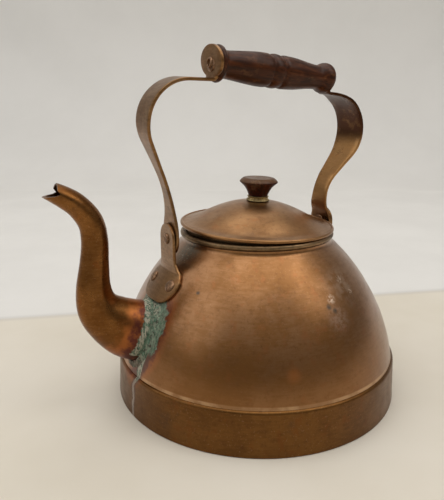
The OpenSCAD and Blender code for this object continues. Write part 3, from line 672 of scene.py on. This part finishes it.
def build_spout():
    """The hollow spout, with its beak bitten open and its root cut to the dome."""
    path = smooth_curve(SPOUT_LINE, 12)
    first = max(i for i, s in enumerate(path) if s[0] > -93)
    path = path[first:]
    n = SPOUT_SIDES
    rings = [spout_ring(s, -0.15) for s in path] + [spout_ring(s, -SPOUT_WALL) for s in path[::-1]]
    verts = [p for ring in rings for p in ring]
    m = len(rings)
    faces = []
    for i in range(m):
        for k in range(n):
            a, b = i * n, ((i + 1) % m) * n
            faces.append((a + k, a + (k + 1) % n, b + (k + 1) % n, b + k))
    mesh = mesh_of("spout", verts, faces)
    spout = finished("spout_pipe", mesh, spout_copper, "kettle_body", ["spout"])

    # What is cut away: the bite that opens the beak, and all that lies inside the dome
    bite = [(-146.8, 162), (-149, 161.1), (-156.6, 160.3), (-156.6, 150), (-180, 150),
            (-180, 190), (-148.4, 190), (-146.6, 169.5), (-147.9, 166.8), (-148.4, 164.4)]
    bm = bmesh.new()
    ring = [bm.verts.new((x * MM, -30 * MM, z * MM)) for x, z in bite]
    face = bm.faces.new(ring)
    grown = bmesh.ops.extrude_face_region(bm, geom=[face])
    bmesh.ops.translate(bm, vec=(0, 60 * MM, 0),
                        verts=[e for e in grown["geom"] if isinstance(e, bmesh.types.BMVert)])
    bmesh.ops.recalc_face_normals(bm, faces=bm.faces)
    cutter_mesh = bpy.data.meshes.new("bite")
    bm.to_mesh(cutter_mesh)
    bm.free()
    inside = np.concatenate([[[0, 20], [DOME_FOOT_R - 2, 20]], dome_outline(-0.6, 30),
                             [[0, NECK_TOP]]])
    verts, faces = turned(inside, 128, closed=False)
    dome_mesh = mesh_of("dome_inside", verts, faces)
    for cut_mesh in (cutter_mesh, dome_mesh):
        cutter = bpy.data.objects.new(cut_mesh.name, cut_mesh)
        bpy.context.scene.collection.objects.link(cutter)
        modifier = spout.modifiers.new("cut", "BOOLEAN")
        modifier.operation = "DIFFERENCE"
        modifier.solver = "EXACT"
        modifier.object = cutter
        bpy.context.view_layer.update()
        result = bpy.data.meshes.new_from_object(
            spout.evaluated_get(bpy.context.evaluated_depsgraph_get()))
        spout.modifiers.clear()
        spout.data = result
        bpy.data.objects.remove(cutter)
    for polygon in spout.data.polygons:
        polygon.use_smooth = True
    spout.data.set_sharp_from_angle(angle=math.radians(40))
    if not spout.data.materials:
        spout.data.materials.append(spout_copper)


def dome_r(z, d=0.0):
    """Radius of the dome's outside, pushed out by d, at a height z."""
    return DOME_CR + math.sqrt((DOME_CURVE + d) ** 2 - (z - DOME_CZ) ** 2)


def build_crust():
    """Lumpy solder and verdigris banked up round the spout's root."""
    around, rows = 220, 16
    cz, half_w, half_h = 60.3, 16.0, 22.6
    verts, faces = [], []
    for i in range(around):
        a = 2 * math.pi * i / around
        ca, sa = math.cos(a), math.sin(a)
        near = max(0.0, -ca)
        reach = 3.4 + 1.5 * max(0.0, sa) * near + 1.1 * near
        reach += 1.3 * rough((40 * ca, 40 * sa, 3), 14, 2.5)
        for j in range(rows):
            t = j / (rows - 1)
            k = -1.6 + (reach + 1.6) * t
            y = (half_w + k) * ca
            z = cz + (half_h + 0.9 * k) * sa
            z = min(z, 81.6)
            bank = max(0.0, 1 - max(0.0, k) / reach)
            h = 0.12 + 1.15 * bank ** 1.6
            lumps = 0.42 * rough((y, z, 4 * k), 3.2, 1.0) + 0.25 * rough((y, z, k), 1.3, 6.0)
            h += lumps * (1 - t) ** 0.4
            if j == rows - 1:
                h = -0.15
            h = min(max(h, -0.15), 1.6)
            r = dome_r(z, h)
            verts.append((-math.sqrt(r * r - y * y), y, z))
    n_top = len(verts)
    for i in range(around):
        for j in range(rows - 1):
            a, b = i * rows + j, ((i + 1) % around) * rows + j
            faces.append((a, a + 1, b + 1, b))
    # A back face a little inside the dome, which closes the bank into a solid
    for i in range(around):
        for j in (0, rows - 1):
            x, y, z = verts[i * rows + j]
            r = dome_r(z, -0.5)
            verts.append((-math.sqrt(r * r - y * y), y, z))
    for i in range(around):
        k = (i + 1) % around
        a0, a1 = n_top + 2 * i, n_top + 2 * i + 1
        b0, b1 = n_top + 2 * k, n_top + 2 * k + 1
        faces.append((a0, b0, b1, a1))
        faces.append((i * rows, k * rows, b0, a0))
        faces.append((i * rows + rows - 1, a1, b1, k * rows + rows - 1))
    finished("root_crust", mesh_of("crust", verts, faces), crust_material, "kettle_body",
             ["spout_solder"], sharp=80)


# ---------------------------------------------------------------- ears and rivets
def rounded_path(points, radius, step):
    """A polyline with its corners rounded, as distances along it and evenly spaced points."""
    p = [np.array(q, float) for q in points]
    out = [p[0]]
    for a, b, c in zip(p, p[1:], p[2:]):
        u, v = (a - b) / np.linalg.norm(a - b), (c - b) / np.linalg.norm(c - b)
        r = min(radius, 0.45 * np.linalg.norm(a - b), 0.45 * np.linalg.norm(c - b))
        for t in np.linspace(0, 1, 9):
            out.append((1 - t) ** 2 * (b + u * r) + 2 * t * (1 - t) * b + t * t * (b + v * r))
    out.append(p[-1])
    out = np.array(out)
    run = np.concatenate([[0], np.cumsum(np.linalg.norm(np.diff(out, axis=0), axis=1))])
    s = np.linspace(0, run[-1], int(run[-1] / step) + 1)
    return s, np.stack([np.interp(s, run, out[:, k]) for k in (0, 1)], -1)


def ear_mesh(name, x, side):
    """An ear: an upright plate that folds onto the dome and follows it. side is -1 in front."""
    mid = EAR_T / 2
    fold_x = x + mid
    reach = dome_outline(mid + 0.1, 200)
    reach = reach[reach[:, 0] < 100]
    on_dome = [q for q in reach[::-1] if q[0] >= fold_x and q[1] > 78]
    fold_z = float(np.interp(fold_x, [q[0] for q in on_dome], [q[1] for q in on_dome]))
    corner = [(fold_x, HINGE_Z + EAR_NECK_R + 0.2), (fold_x, fold_z)]
    s, path = rounded_path(corner + [tuple(q) for q in on_dome[3::6]], 3.0, 0.25)
    heights = path[:, 1]

    def v_of(z):
        return float(np.interp(-z, -heights, s))

    left = [(-EAR_NECK_R, 118), (-EAR_NECK_R, 112), (-11.4, 108.5), (-13.4, 105.2),
            (-17.0, 101.6), (-19.8, 98.0)]
    left += [(-8.9 + 12.1 * math.cos(a), 94.4 + 11.8 * math.sin(a))
             for a in np.radians(np.linspace(165, 270, 16))]
    outline = [tuple(q) for q in arc((0, HINGE_Z), EAR_NECK_R, 0, 180, 40)]
    outline += left + [(-u, z) for u, z in reversed(left)]
    outline = [(u, v_of(z)) for u, z in outline]

    def place(u, v, w):
        i = int(np.clip(np.searchsorted(s, v), 1, len(s) - 1))
        t = (v - s[i - 1]) / (s[i] - s[i - 1])
        p = path[i - 1] * (1 - t) + path[i] * t
        d = path[i] - path[i - 1]
        d = d / np.linalg.norm(d)
        out = np.array([-d[1], d[0]])
        p = p + out * w
        # Flat at the hinge, wrapped round the dome at the foot
        blend = ramp(float(p[1]), HINGE_Z - 12, HINGE_Z - 26)
        blend = blend * blend * (3 - 2 * blend)
        r = p[0]
        px = r * (1 - blend) + math.sqrt(max(r * r - u * u, 0)) * blend
        px += 0.10 * rough((0, u, p[1]), 16, 3.0)
        return (side * px, side * u, p[1])

    low, high = min(v for _, v in outline), max(v for _, v in outline)
    cuts = np.arange(low + 0.7, high - 0.3, 0.9)
    return bent_plate(name, outline, EAR_T, 0.5, cuts, np.arange(-18, 19, 3.0), place)


def dome_frame(heading, z, lift):
    """Matrix in mm that puts Z out of the dome's sheet at a heading and height."""
    tilt = math.asin((z - DOME_CZ) / DOME_CURVE)
    r = DOME_CR + DOME_CURVE * math.cos(tilt)
    turn = Matrix.Rotation(math.radians(heading), 4, "Z")
    lean = Matrix.Rotation(math.radians(90) - tilt, 4, "Y")
    return turn @ Matrix.Translation((r, 0, z)) @ lean @ Matrix.Translation((0, 0, lift))


def head_outline(r, h, foot=0.35):
    """A worn round rivet head: a low dome with a small upright edge."""
    pts = [(0.0, h), (0.3 * r, 0.965 * h), (0.55 * r, 0.87 * h), (0.76 * r, 0.68 * h),
           (0.91 * r, 0.42 * h), (0.985 * r, 0.18 * h), (r, 0.0), (0.97 * r, -foot)]
    return np.concatenate([smooth_curve(pts, 3), [[0.0, -foot]]])


def head_points(r, h, matrix, seed, foot=0.35):
    """Points and faces of an uneven rivet head, moved by a matrix."""
    def push(p):
        return 0.14 * rough((p[0] * 2, p[1] * 2, p[2] * 2), 5, seed)

    verts, faces = turned(head_outline(r, h, foot), 40, push, closed=False)
    return moved(verts, matrix), faces


def joined(parts):
    """Several sets of points and faces as one."""
    verts, faces, base = [], [], 0
    for v, f in parts:
        verts.append(v)
        faces += [tuple(k + base for k in face) for face in f]
        base += len(v)
    return np.concatenate(verts), faces


def build_ears():
    """Both ears, the rivets through their feet and the rivets that the bail swings on."""
    tilt = math.asin((RIVET_Z - DOME_CZ) / DOME_CURVE)
    spread = math.degrees(math.asin(RIVET_Y / (DOME_CR + DOME_CURVE * math.cos(tilt))))
    for name, side, x in (("front", -1, FRONT_X), ("rear", 1, REAR_X)):
        ear_x = x + STRAP_T / 2 + EAR_GAP
        finished(name + "_ear_plate", ear_mesh(name + "_ear", ear_x, side), strap_copper,
                 "kettle_body", [name + "_ear"])
        heading = 180 if side < 0 else 0
        parts = []
        for k, m in enumerate((-1, 1)):
            place = dome_frame(heading + m * spread, RIVET_Z, EAR_T + 0.05)
            parts.append(head_points(4.3, 1.6, place, 2.0 + k + side))
            burr = (dome_frame(heading + m * spread, RIVET_Z, -SHEET - 0.6)
                    @ Matrix.Rotation(math.pi, 4, "X"))
            parts.append(head_points(3.5, 0.95, burr, 5.0 + k + side, 0.05))
        verts, faces = joined(parts)
        finished(name + "_ear_rivet_heads", mesh_of(name + "_ear_rivets", verts, faces),
                 rivet_copper, "kettle_body", [name + "_ear_rivets"])

        face = ear_x + EAR_T
        inner = x - STRAP_T / 2 - BURR_GAP
        outline = np.concatenate([
            smooth_curve([(0, face + 0.95), (1.2, face + 1.0), (2.2, face + 1.25),
                          (3.0, face + 1.2), (3.6, face + 0.75), (3.9, face + 0.2),
                          (3.8, face - 0.1)], 3),
            [[2.55, face - 0.1], [2.55, inner - 0.05], [4.2, inner - 0.1], [4.35, inner - 0.4],
             [4.0, inner - 0.95], [3.0, inner - 1.1], [0, inner - 1.1]]])
        verts, faces = turned(outline, 48, closed=False)
        place = (Matrix.Rotation(math.pi if side < 0 else 0.0, 4, "Z")
                 @ Matrix.Translation((0, 0, HINGE_Z)) @ Matrix.Rotation(math.pi / 2, 4, "Y"))
        finished(name + "_hinge_pin", mesh_of(name + "_hinge", moved(verts, place), faces),
                 rivet_copper, "kettle_body", [name + "_hinge_rivet"])


# ---------------------------------------------------------------- bail
LEAN = (Matrix.Translation((0, 0, HINGE_Z)) @ Matrix.Rotation(math.radians(BAIL_LEAN), 4, "X")
        @ Matrix.Translation((0, 0, -HINGE_Z)))
ON_GRIP = (LEAN @ Matrix.Translation((GRIP_X, 0, GRIP_Z))
           @ Matrix.Rotation(math.radians(90 + GRIP_SLOPE), 4, "Y"))


def strap_path(x, rise, bends, side):
    """Side view of a strap as points (out, up) and headings, going up from its foot.

    The last bend turns the strap up into the plate that clamps the grip."""
    step = 0.25
    pts, run = [], []
    p, heading = np.array([x, HINGE_Z - FOOT_R]), 0.0

    def forward(length, turn_per_mm):
        nonlocal p, heading
        count = max(1, int(round(length / step)))
        for _ in range(count):
            pts.append((*p, heading))
            mid = math.radians(heading + turn_per_mm * length / count / 2)
            p = p + np.array([math.sin(mid), math.cos(mid)]) * length / count
            heading += turn_per_mm * length / count

    forward(FOOT_R + rise, 0)
    for turn, radius, straight in bends:
        forward(abs(math.radians(turn)) * radius, turn / (abs(math.radians(turn)) * radius))
        if straight:
            forward(straight, 0)
    # Up the end of the grip
    corner = 2.6
    left = p[0] - plate_middle(side)[0] - corner
    if left > 0:
        forward(left, 0)
    turn = -heading - side * GRIP_SLOPE
    forward(abs(math.radians(turn)) * corner, turn / (abs(math.radians(turn)) * corner))
    forward(30, 0)
    pts.append((*p, heading))
    pts = np.array(pts)
    s = np.concatenate([[0], np.cumsum(np.linalg.norm(np.diff(pts[:, :2], axis=0), axis=1))])
    return s, pts


def plate_middle(end):
    """Middle of a clamping plate on the rod's line, as (out, up) from the kettle's axis."""
    lean = math.radians(GRIP_SLOPE)
    along = GRIP_LEN / 2 + TAB_GAP + STRAP_T / 2
    return np.array([end * GRIP_X + along * math.cos(lean), GRIP_Z - end * along * math.sin(lean)])


# Bends going up from the hinge, each as (turn in degrees, radius, length of the straight after)
FRONT_BENDS = [(24, 102, 22.2), (-114, 28, 10)]
REAR_BENDS = [(-29, 16, 0), (29, 16, 2.3), (39.2, 32, 17), (-129.2, 29.4, 0)]
# Half widths as (height, half width), then those of the top runs as (distance out, half width)
FRONT_WIDTHS = [(110, FOOT_R), (125, FOOT_R), (134, 10.6), (146, 7.2), (160, 5.2), (174, 5.6),
                (188, 8), (204, 10.4), (220, 10.6), (236, 10)]
REAR_WIDTHS = [(110, FOOT_R), (125, FOOT_R), (134, 9.8), (146, 8), (158, 8), (172, 10.3),
               (186, 13.4), (200, 14.1), (212, 14.1), (236, 14)]
FRONT_TOPS = [(34, 6), (46, 6.4), (52, 7.4), (60, 9.2), (70, 10.6), (84, 11), (100, 12)]
REAR_TOPS = [(37, 5.8), (53, 6.2), (59, 8), (65, 11.6), (73, 14.1), (85, 14.5), (97, 14.5)]
# Clamping plates: half width, half height, and rise of their middle above the rod
FRONT_TAB, REAR_TAB = (14.5, 10.6, 1.2), (10.4, 10.4, 0.0)
# Half width of a strap where it meets the edge of its plate
STEM_HALF = 6.4
# The grip as (distance from its front end, radius): a bead at each end and two at the middle
GRIP_OUTLINE = [(0, 10.7), (0.5, 11.5), (1.3, 12.0), (2.5, 12.0), (3.8, 11.3), (4.9, 9.7),
                (6.2, 9.15), (9, 9.15), (14, 9.65), (20, 10.25), (31, 11.25), (37, 11.45),
                (40.5, 11.3), (42, 10.65), (43, 10.6), (44.3, 11.3), (46.2, 11.6), (48.2, 11.6),
                (50, 11.2), (51.6, 10.6), (52.5, 10.55), (53.4, 11.1), (54.8, 11.4),
                (56.5, 11.4), (66, 10.85), (77, 9.35), (84, 8.65), (87, 8.75), (89.3, 9.6),
                (91.5, 10.55), (94, 10.95), (96.2, 10.75), (98, 9.9), (99.2, 8.6)]


def strap_mesh(name, side, x, rise, bends, widths, tops, tab):
    """A strap from its round foot at the hinge to the plate that clamps the grip."""
    s, path = strap_path(x, rise, bends, side)
    wide = smooth_curve(widths, 3)
    top = smooth_curve(tops, 3)
    # Where the clamping plate's middle falls along the strap
    centre = plate_middle(side)
    middle = s[int(np.linalg.norm(path[:, :2] - centre, axis=1).argmin())] + tab[2]
    tab_w, tab_h = tab[0], tab[1]
    right = [tuple(q) for q in arc((0, FOOT_R), FOOT_R, -90, 0, 18)[:-1]]
    for v in np.arange(FOOT_R + 0.5, middle - tab_h, 1.0):
        px, pz = np.interp(v, s, path[:, 0]), np.interp(v, s, path[:, 1])
        half = np.interp(pz, wide[:, 0], wide[:, 1])
        if v > 60:
            half = min(half, np.interp(px, top[:, 0], top[:, 1]))
        right.append((half, v))
    foot = math.asin(STEM_HALF / tab_w)
    right = [q for q in right if q[1] < middle - tab_h * math.cos(foot) - 1.0]
    for a in np.radians(np.linspace(-86 + math.degrees(foot), 90, 29)):
        right.append((tab_w * math.cos(a), middle + tab_h * math.sin(a)))
    outline = right + [(-u, v) for u, v in reversed(right[1:-1])]

    def place(u, v, w):
        px, pz, h = (float(np.interp(v, s, path[:, k])) for k in range(3))
        h = math.radians(h)
        fade = ramp(v, 26, 46) * ramp(v, middle - 24, middle - 36)
        out = w + 0.16 * rough((u, v, 5 * side), 26, 1.3) * fade
        px += out * math.cos(h)
        pz -= out * math.sin(h)
        return tuple(LEAN @ Vector((side * px, side * u, pz)))

    cuts = np.concatenate([np.arange(1.5, middle - 22, 1.6),
                           np.arange(middle - 22, middle - 6, 0.35),
                           np.arange(middle - 6, middle + tab_h - 0.5, 1.6)])
    return bent_plate(name, outline, STRAP_T, 0.6, cuts, (-8, -4, 0, 4, 8), place)


def build_bail():
    """The two straps, the turned grip between them, its rod and the rod's washers."""
    for name, metal, *shape in (
            ("front", strap_copper, -1, FRONT_X, FRONT_RISE, FRONT_BENDS, FRONT_WIDTHS,
             FRONT_TOPS, FRONT_TAB),
            ("rear", rear_strap_copper, 1, REAR_X, REAR_RISE, REAR_BENDS, REAR_WIDTHS,
             REAR_TOPS, REAR_TAB)):
        mesh = strap_mesh(name + "_strap", *shape)
        finished(name + "_strap_blade", mesh, metal, "bail", [name + "_strap"])

    pts = smooth_curve(GRIP_OUTLINE, 4)
    profile = [[0, pts[0][0]], [4, pts[0][0]], [8, pts[0][0]]] + [[r, d] for d, r in pts]
    profile += [[6, pts[-1][0]], [0, pts[-1][0]]]

    def wood_push(p):
        return 0.10 * rough((p[0], p[1], p[2] * 0.4), 9, 1.9) - 0.05

    verts, faces = turned(profile, 96, wood_push, closed=False)
    matrix = ON_GRIP @ Matrix.Translation((0, 0, -GRIP_LEN / 2))
    finished("grip_wood", mesh_of("grip", moved(verts, matrix), faces), grip_wood, "bail",
             ["grip"])

    half = GRIP_LEN / 2 + TAB_GAP + STRAP_T
    for name, end in (("front", -1), ("rear", 1)):
        flip = Matrix.Rotation(math.pi, 4, "X") if end < 0 else Matrix.Identity(4)
        outline = smooth_curve([(2.6, 0.05), (2.6, 0.55), (3.4, 0.85), (4.7, 0.72), (5.5, 0.3),
                                (5.5, 0.02)], 3)
        verts, faces = turned(outline, 48, lambda p: 0.08 * rough(p, 4, 3.0))
        matrix = ON_GRIP @ flip @ Matrix.Translation((0, 0, half))
        finished(name + "_rod_washer", mesh_of(name + "_washer", moved(verts, matrix), faces),
                 rivet_copper, "bail", [name + "_grip_washer"])
    # The rod, with a rolled and cupped head at each end
    h = half + 0.9
    head = [(0, h - 0.05), (0.9, h - 0.1), (1.25, h - 0.5), (1.7, h - 0.55), (2.0, h - 0.1),
            (2.15, h + 0.9), (2.5, h + 1.32), (2.95, h + 1.25), (3.5, h + 0.75),
            (3.75, h + 0.25), (3.6, h + 0.02), (2.4, h - 0.05)]
    end_cap = smooth_curve(head, 3)
    profile = np.concatenate([end_cap, [[2.35, h - 4], [2.35, 0], [2.35, 4 - h]],
                              end_cap[::-1] * np.array([1, -1])])
    verts, faces = turned(profile, 40, lambda p: 0.12 * rough(p, 3, 7.0) * (abs(p[2]) > h),
                          closed=False)
    finished("grip_rod_ends", mesh_of("rod", moved(verts, ON_GRIP), faces), rivet_copper, "bail",
             ["grip_rod"])


# ---------------------------------------------------------------- lid
def cocked():
    """Matrix in mm that tips the lid about the near side of its edge."""
    return (Matrix.Rotation(math.radians(LID_HEADING), 4, "Z")
            @ Matrix.Translation((BEAD_CR, 0, LID_LOW))
            @ Matrix.Rotation(math.radians(LID_TILT), 4, "Y")
            @ Matrix.Translation((-BEAD_CR, 0, -LID_LOW)))


def build_lid():
    """The lid's crown and collar, and the knob with all that holds it."""
    tip = cocked()
    crown = smooth_curve(LID_OUTLINE, 6)
    top = np.stack([crown[:, 0], LID_BRIM + crown[:, 1] * LID_RISE], -1)
    edge = arc((LID_R - LID_BEAD, LID_LOW + LID_BEAD), LID_BEAD, 130, -150, 16)
    under = (top - np.array([0, LID_SHEET]))[::-1]
    outline = np.concatenate([top, edge, under])

    def lid_push(p):
        r = math.hypot(p[0], p[1])
        fade = ramp(r, 57, 49)
        return fade * (0.25 * rough(p, 22, 6.6)) - 0.06 * (1 - fade) * (1 + rough(p, 14, 9.0))

    verts, faces = turned(outline, 224, lid_push, closed=False)
    # Shallow dents in the crown
    for c, size, depth in (((-20, -30), 8, 0.35), ((18, -40), 9, 0.28), ((30, 10), 10, 0.3),
                           ((-34, 14), 9, 0.3), ((2, 36), 10, 0.3)):
        far2 = (verts[:, 0] - c[0]) ** 2 + (verts[:, 1] - c[1]) ** 2
        verts[:, 2] -= depth * np.exp(-far2 / (2 * (size * 0.5) ** 2))
    finished("lid_crown", mesh_of("lid", moved(verts, tip), faces), lid_copper, "lid",
             ["lid_cover"])

    low, high = SLEEVE_LOW + 4, LID_BRIM - LID_SHEET + 0.7
    outline = [[COLLAR_R - COLLAR_T, high], [COLLAR_R - COLLAR_T, low + 0.8],
               [COLLAR_R - COLLAR_T - 0.3, low], [COLLAR_R - 0.4, low], [COLLAR_R, low + 0.6],
               [COLLAR_R, high]]
    verts, faces = turned(outline, 160)
    finished("lid_ring", mesh_of("collar", moved(verts, tip), faces), dark_rim, "lid",
             ["lid_collar"])

    outline = smooth_curve([(2.4, 0), (8.2, 0.0), (8.75, 0.5), (8.3, 1.15), (7.65, 1.7), (7.6, 2.3),
                            (8.0, 2.9), (7.8, 3.4), (2.4, 3.45)], 4)
    verts, faces = turned(outline, 64, lambda p: 0.05 * rough(p, 3, 2.0) - 0.02)
    verts = moved(verts, tip @ Matrix.Translation((0, 0, FERRULE_LOW)))
    finished("knob_ring", mesh_of("ferrule", verts, faces), brass_metal, "lid",
             ["knob_ferrule"])

    shares = [(0, 0), (0.3, 0), (0.49, 0.0), (0.505, 0.02), (0.53, 0.1), (0.62, 0.3), (0.755, 0.52),
              (0.93, 0.695), (0.985, 0.74), (1.0, 0.775), (0.985, 0.82), (0.91, 0.905),
              (0.835, 0.965), (0.79, 0.99), (0.72, 0.995), (0.5, 0.985), (0.2, 0.98), (0, 0.98)]
    pts = smooth_curve(shares, 4) * np.array([KNOB_R, KNOB_H])
    pts[:, 0] = np.maximum(pts[:, 0], 0)
    pts[0, 0] = pts[-1, 0] = 0
    verts, faces = turned(pts, 80, lambda p: 0.10 * rough(p, 6, 3.0) - 0.05, closed=False)
    verts = moved(verts, tip @ Matrix.Translation((0, 0, KNOB_LOW)))
    finished("knob_wood", mesh_of("knob", verts, faces), knob_wood, "lid", ["knob"])

    low = LID_TOP - LID_SHEET - 1.3
    stud = [(0, KNOB_LOW + 8.8 - low), (1.8, KNOB_LOW + 8.8 - low), (2.15, KNOB_LOW + 8.4 - low),
            (2.15, 0.1), (3.9, 0.0), (3.7, -0.6), (2.9, -1.2), (1.6, -1.5), (0, -1.58)]
    under_lid = tip @ Matrix.Translation((0, 0, low))
    verts, faces = turned(stud, 40, closed=False)
    finished("knob_stud_pin", mesh_of("stud", moved(verts, under_lid), faces), brass_metal, "lid",
             ["knob_stud"])
    ring = [(2.25, 0.02), (6.2, 0.02), (6.45, 0.3), (6.2, 0.72), (2.25, 0.78)]
    verts, faces = turned(ring, 48)
    finished("knob_washer_ring", mesh_of("washer", moved(verts, under_lid), faces), brass_metal,
             "lid", ["knob_washer"])


build_body()
build_spout()
build_crust()
build_ears()
build_bail()
build_lid()


# ---------------------------------------------------------------- stage
HEADING = math.radians(30.0)
PITCH = math.radians(14.70)
AHEAD = Vector((math.sin(HEADING), math.cos(HEADING), 0))
ASIDE = Vector((math.cos(HEADING), -math.sin(HEADING), 0))
WALL_TONES = ((0.70, 0.685, 0.655), (0.74, 0.725, 0.695))
FLOOR_TONES = ((0.655, 0.60, 0.50), (0.715, 0.665, 0.575))
# Direction and distance in metres of the line where the floor turns to the wall's tone
EDGE_X, EDGE_Y, EDGE_AT = 0.337, 0.9415, 0.162


def paper(name, mottle_size, grain, with_floor):
    """Plain matt backdrop; if with_floor is set, the floor's tone in front of the line and painted
    shade along it.
    """
    n = Nodes(name)
    mottle = n.span(n.noise(mottle_size, 4, 0.6), 0.3, 0.7)
    colour = n.mix(mottle, *WALL_TONES)
    if with_floor:
        x, y = n.xyz()[:2]
        depth = n.less(n.add(n.times(x, EDGE_X), n.times(y, EDGE_Y)), EDGE_AT)
        colour = n.mix(n.span(depth, -0.003, 0.0035), n.mix(mottle, *FLOOR_TONES), colour)
        # Painted shade: a thin darker line where the wall tone meets the floor tone, like the
        # shadow in a corner
        line = n.times(n.span(depth, -0.010, -0.002), n.span(depth, 0.010, 0.002))
        colour = n.mix(n.times(line, 0.28), colour, (0.42, 0.40, 0.38))
    return n.finish(colour, 0.75, n.bump(n.noise(grain, 3, 0.6), 0.3, 0.3), 0.0)


# The sheet runs flat under the kettle, then sweeps up far behind it: (metres ahead, height)
FLAT_TO, SWEEP_R = 1.1, 0.6
rows = [(-3.0, 0.0), (FLAT_TO, 0.0)]
rows += [tuple(q) for q in arc((FLAT_TO, SWEEP_R), SWEEP_R, -80, 0, 8)]
rows += [(FLAT_TO + SWEEP_R, 3.5)]
sheet_mesh = bpy.data.meshes.new("floor")
sheet_verts = [AHEAD * d + ASIDE * w + Vector((0, 0, h)) for d, h in rows for w in (-4, 4)]
sheet_faces = [(2 * i, 2 * i + 1, 2 * i + 3, 2 * i + 2) for i in range(len(rows) - 1)]
sheet_mesh.from_pydata(sheet_verts, [], sheet_faces)
for polygon in sheet_mesh.polygons:
    polygon.use_smooth = True
    polygon.material_index = int(polygon.index > 0)
floor = bpy.data.objects.new("floor", sheet_mesh)
bpy.context.scene.collection.objects.link(floor)
floor.data.materials.append(paper("stage_floor", 230, 8, True))
floor.data.materials.append(paper("stage_wall", 400, 400 / 30, False))

LIT_POINT = Vector((0, 0, 0.10))


def area_light(name, place, width, height, power, colour):
    """A soft rectangular light of that size in metres, turned to the kettle."""
    data = bpy.data.lights.new(name, "AREA")
    data.shape = "RECTANGLE"
    data.size, data.size_y = width, height
    data.energy = power
    data.color = colour
    obj = bpy.data.objects.new(name, data)
    bpy.context.scene.collection.objects.link(obj)
    obj.location = place
    obj.rotation_euler = (LIT_POINT - place).to_track_quat("-Z", "Y").to_euler()


area_light("ceiling", Vector((0, 0, 2.2)), 2.6, 2.6, 27, (1.0, 0.98, 0.95))
area_light("window", -ASIDE * 1.7 - AHEAD * 0.5 + Vector((0, 0, 1.2)), 2.2, 1.6, 9,
           (0.98, 0.985, 1.0))
area_light("fill", ASIDE * 1.5 - AHEAD * 0.5 + Vector((0, 0, 1.7)), 1.0, 1.3, 6.5,
           (1.0, 0.96, 0.9))

# Soft room light: bright overhead, dim at the level of the eye
world = bpy.data.worlds.new("studio")
bpy.context.scene.world = world
world.use_nodes = True
sky = world.node_tree
place = sky.nodes.new("ShaderNodeTexCoord").outputs["Generated"]
split = sky.nodes.new("ShaderNodeSeparateXYZ")
sky.links.new(place, split.inputs[0])
rise = sky.nodes.new("ShaderNodeMapRange")
sky.links.new(split.outputs["Z"], rise.inputs["Value"])
# Rise of the view from and to which the sky brightens, and its strength at the two
for socket, value in zip(rise.inputs[1:5], (0.30, 0.92, 0.19, 0.72)):
    socket.default_value = value
sky.links.new(rise.outputs[0], sky.nodes["Background"].inputs["Strength"])
sky.nodes["Background"].inputs["Color"].default_value = (0.97, 0.95, 0.92, 1)

camera_data = bpy.data.cameras.new("camera")
camera_data.lens = 36.0
camera_data.sensor_width = 36.0
camera_data.clip_start = 0.01
camera_data.clip_end = 20.0
camera = bpy.data.objects.new("camera", camera_data)
bpy.context.scene.collection.objects.link(camera)
camera.location = (-0.2127, -0.3153, 0.2063)
look = AHEAD * math.cos(PITCH) - Vector((0, 0, 1)) * math.sin(PITCH)
camera.rotation_euler = look.to_track_quat("-Z", "Y").to_euler()
bpy.context.scene.camera = camera
bpy.context.scene.view_settings.view_transform = "Standard"
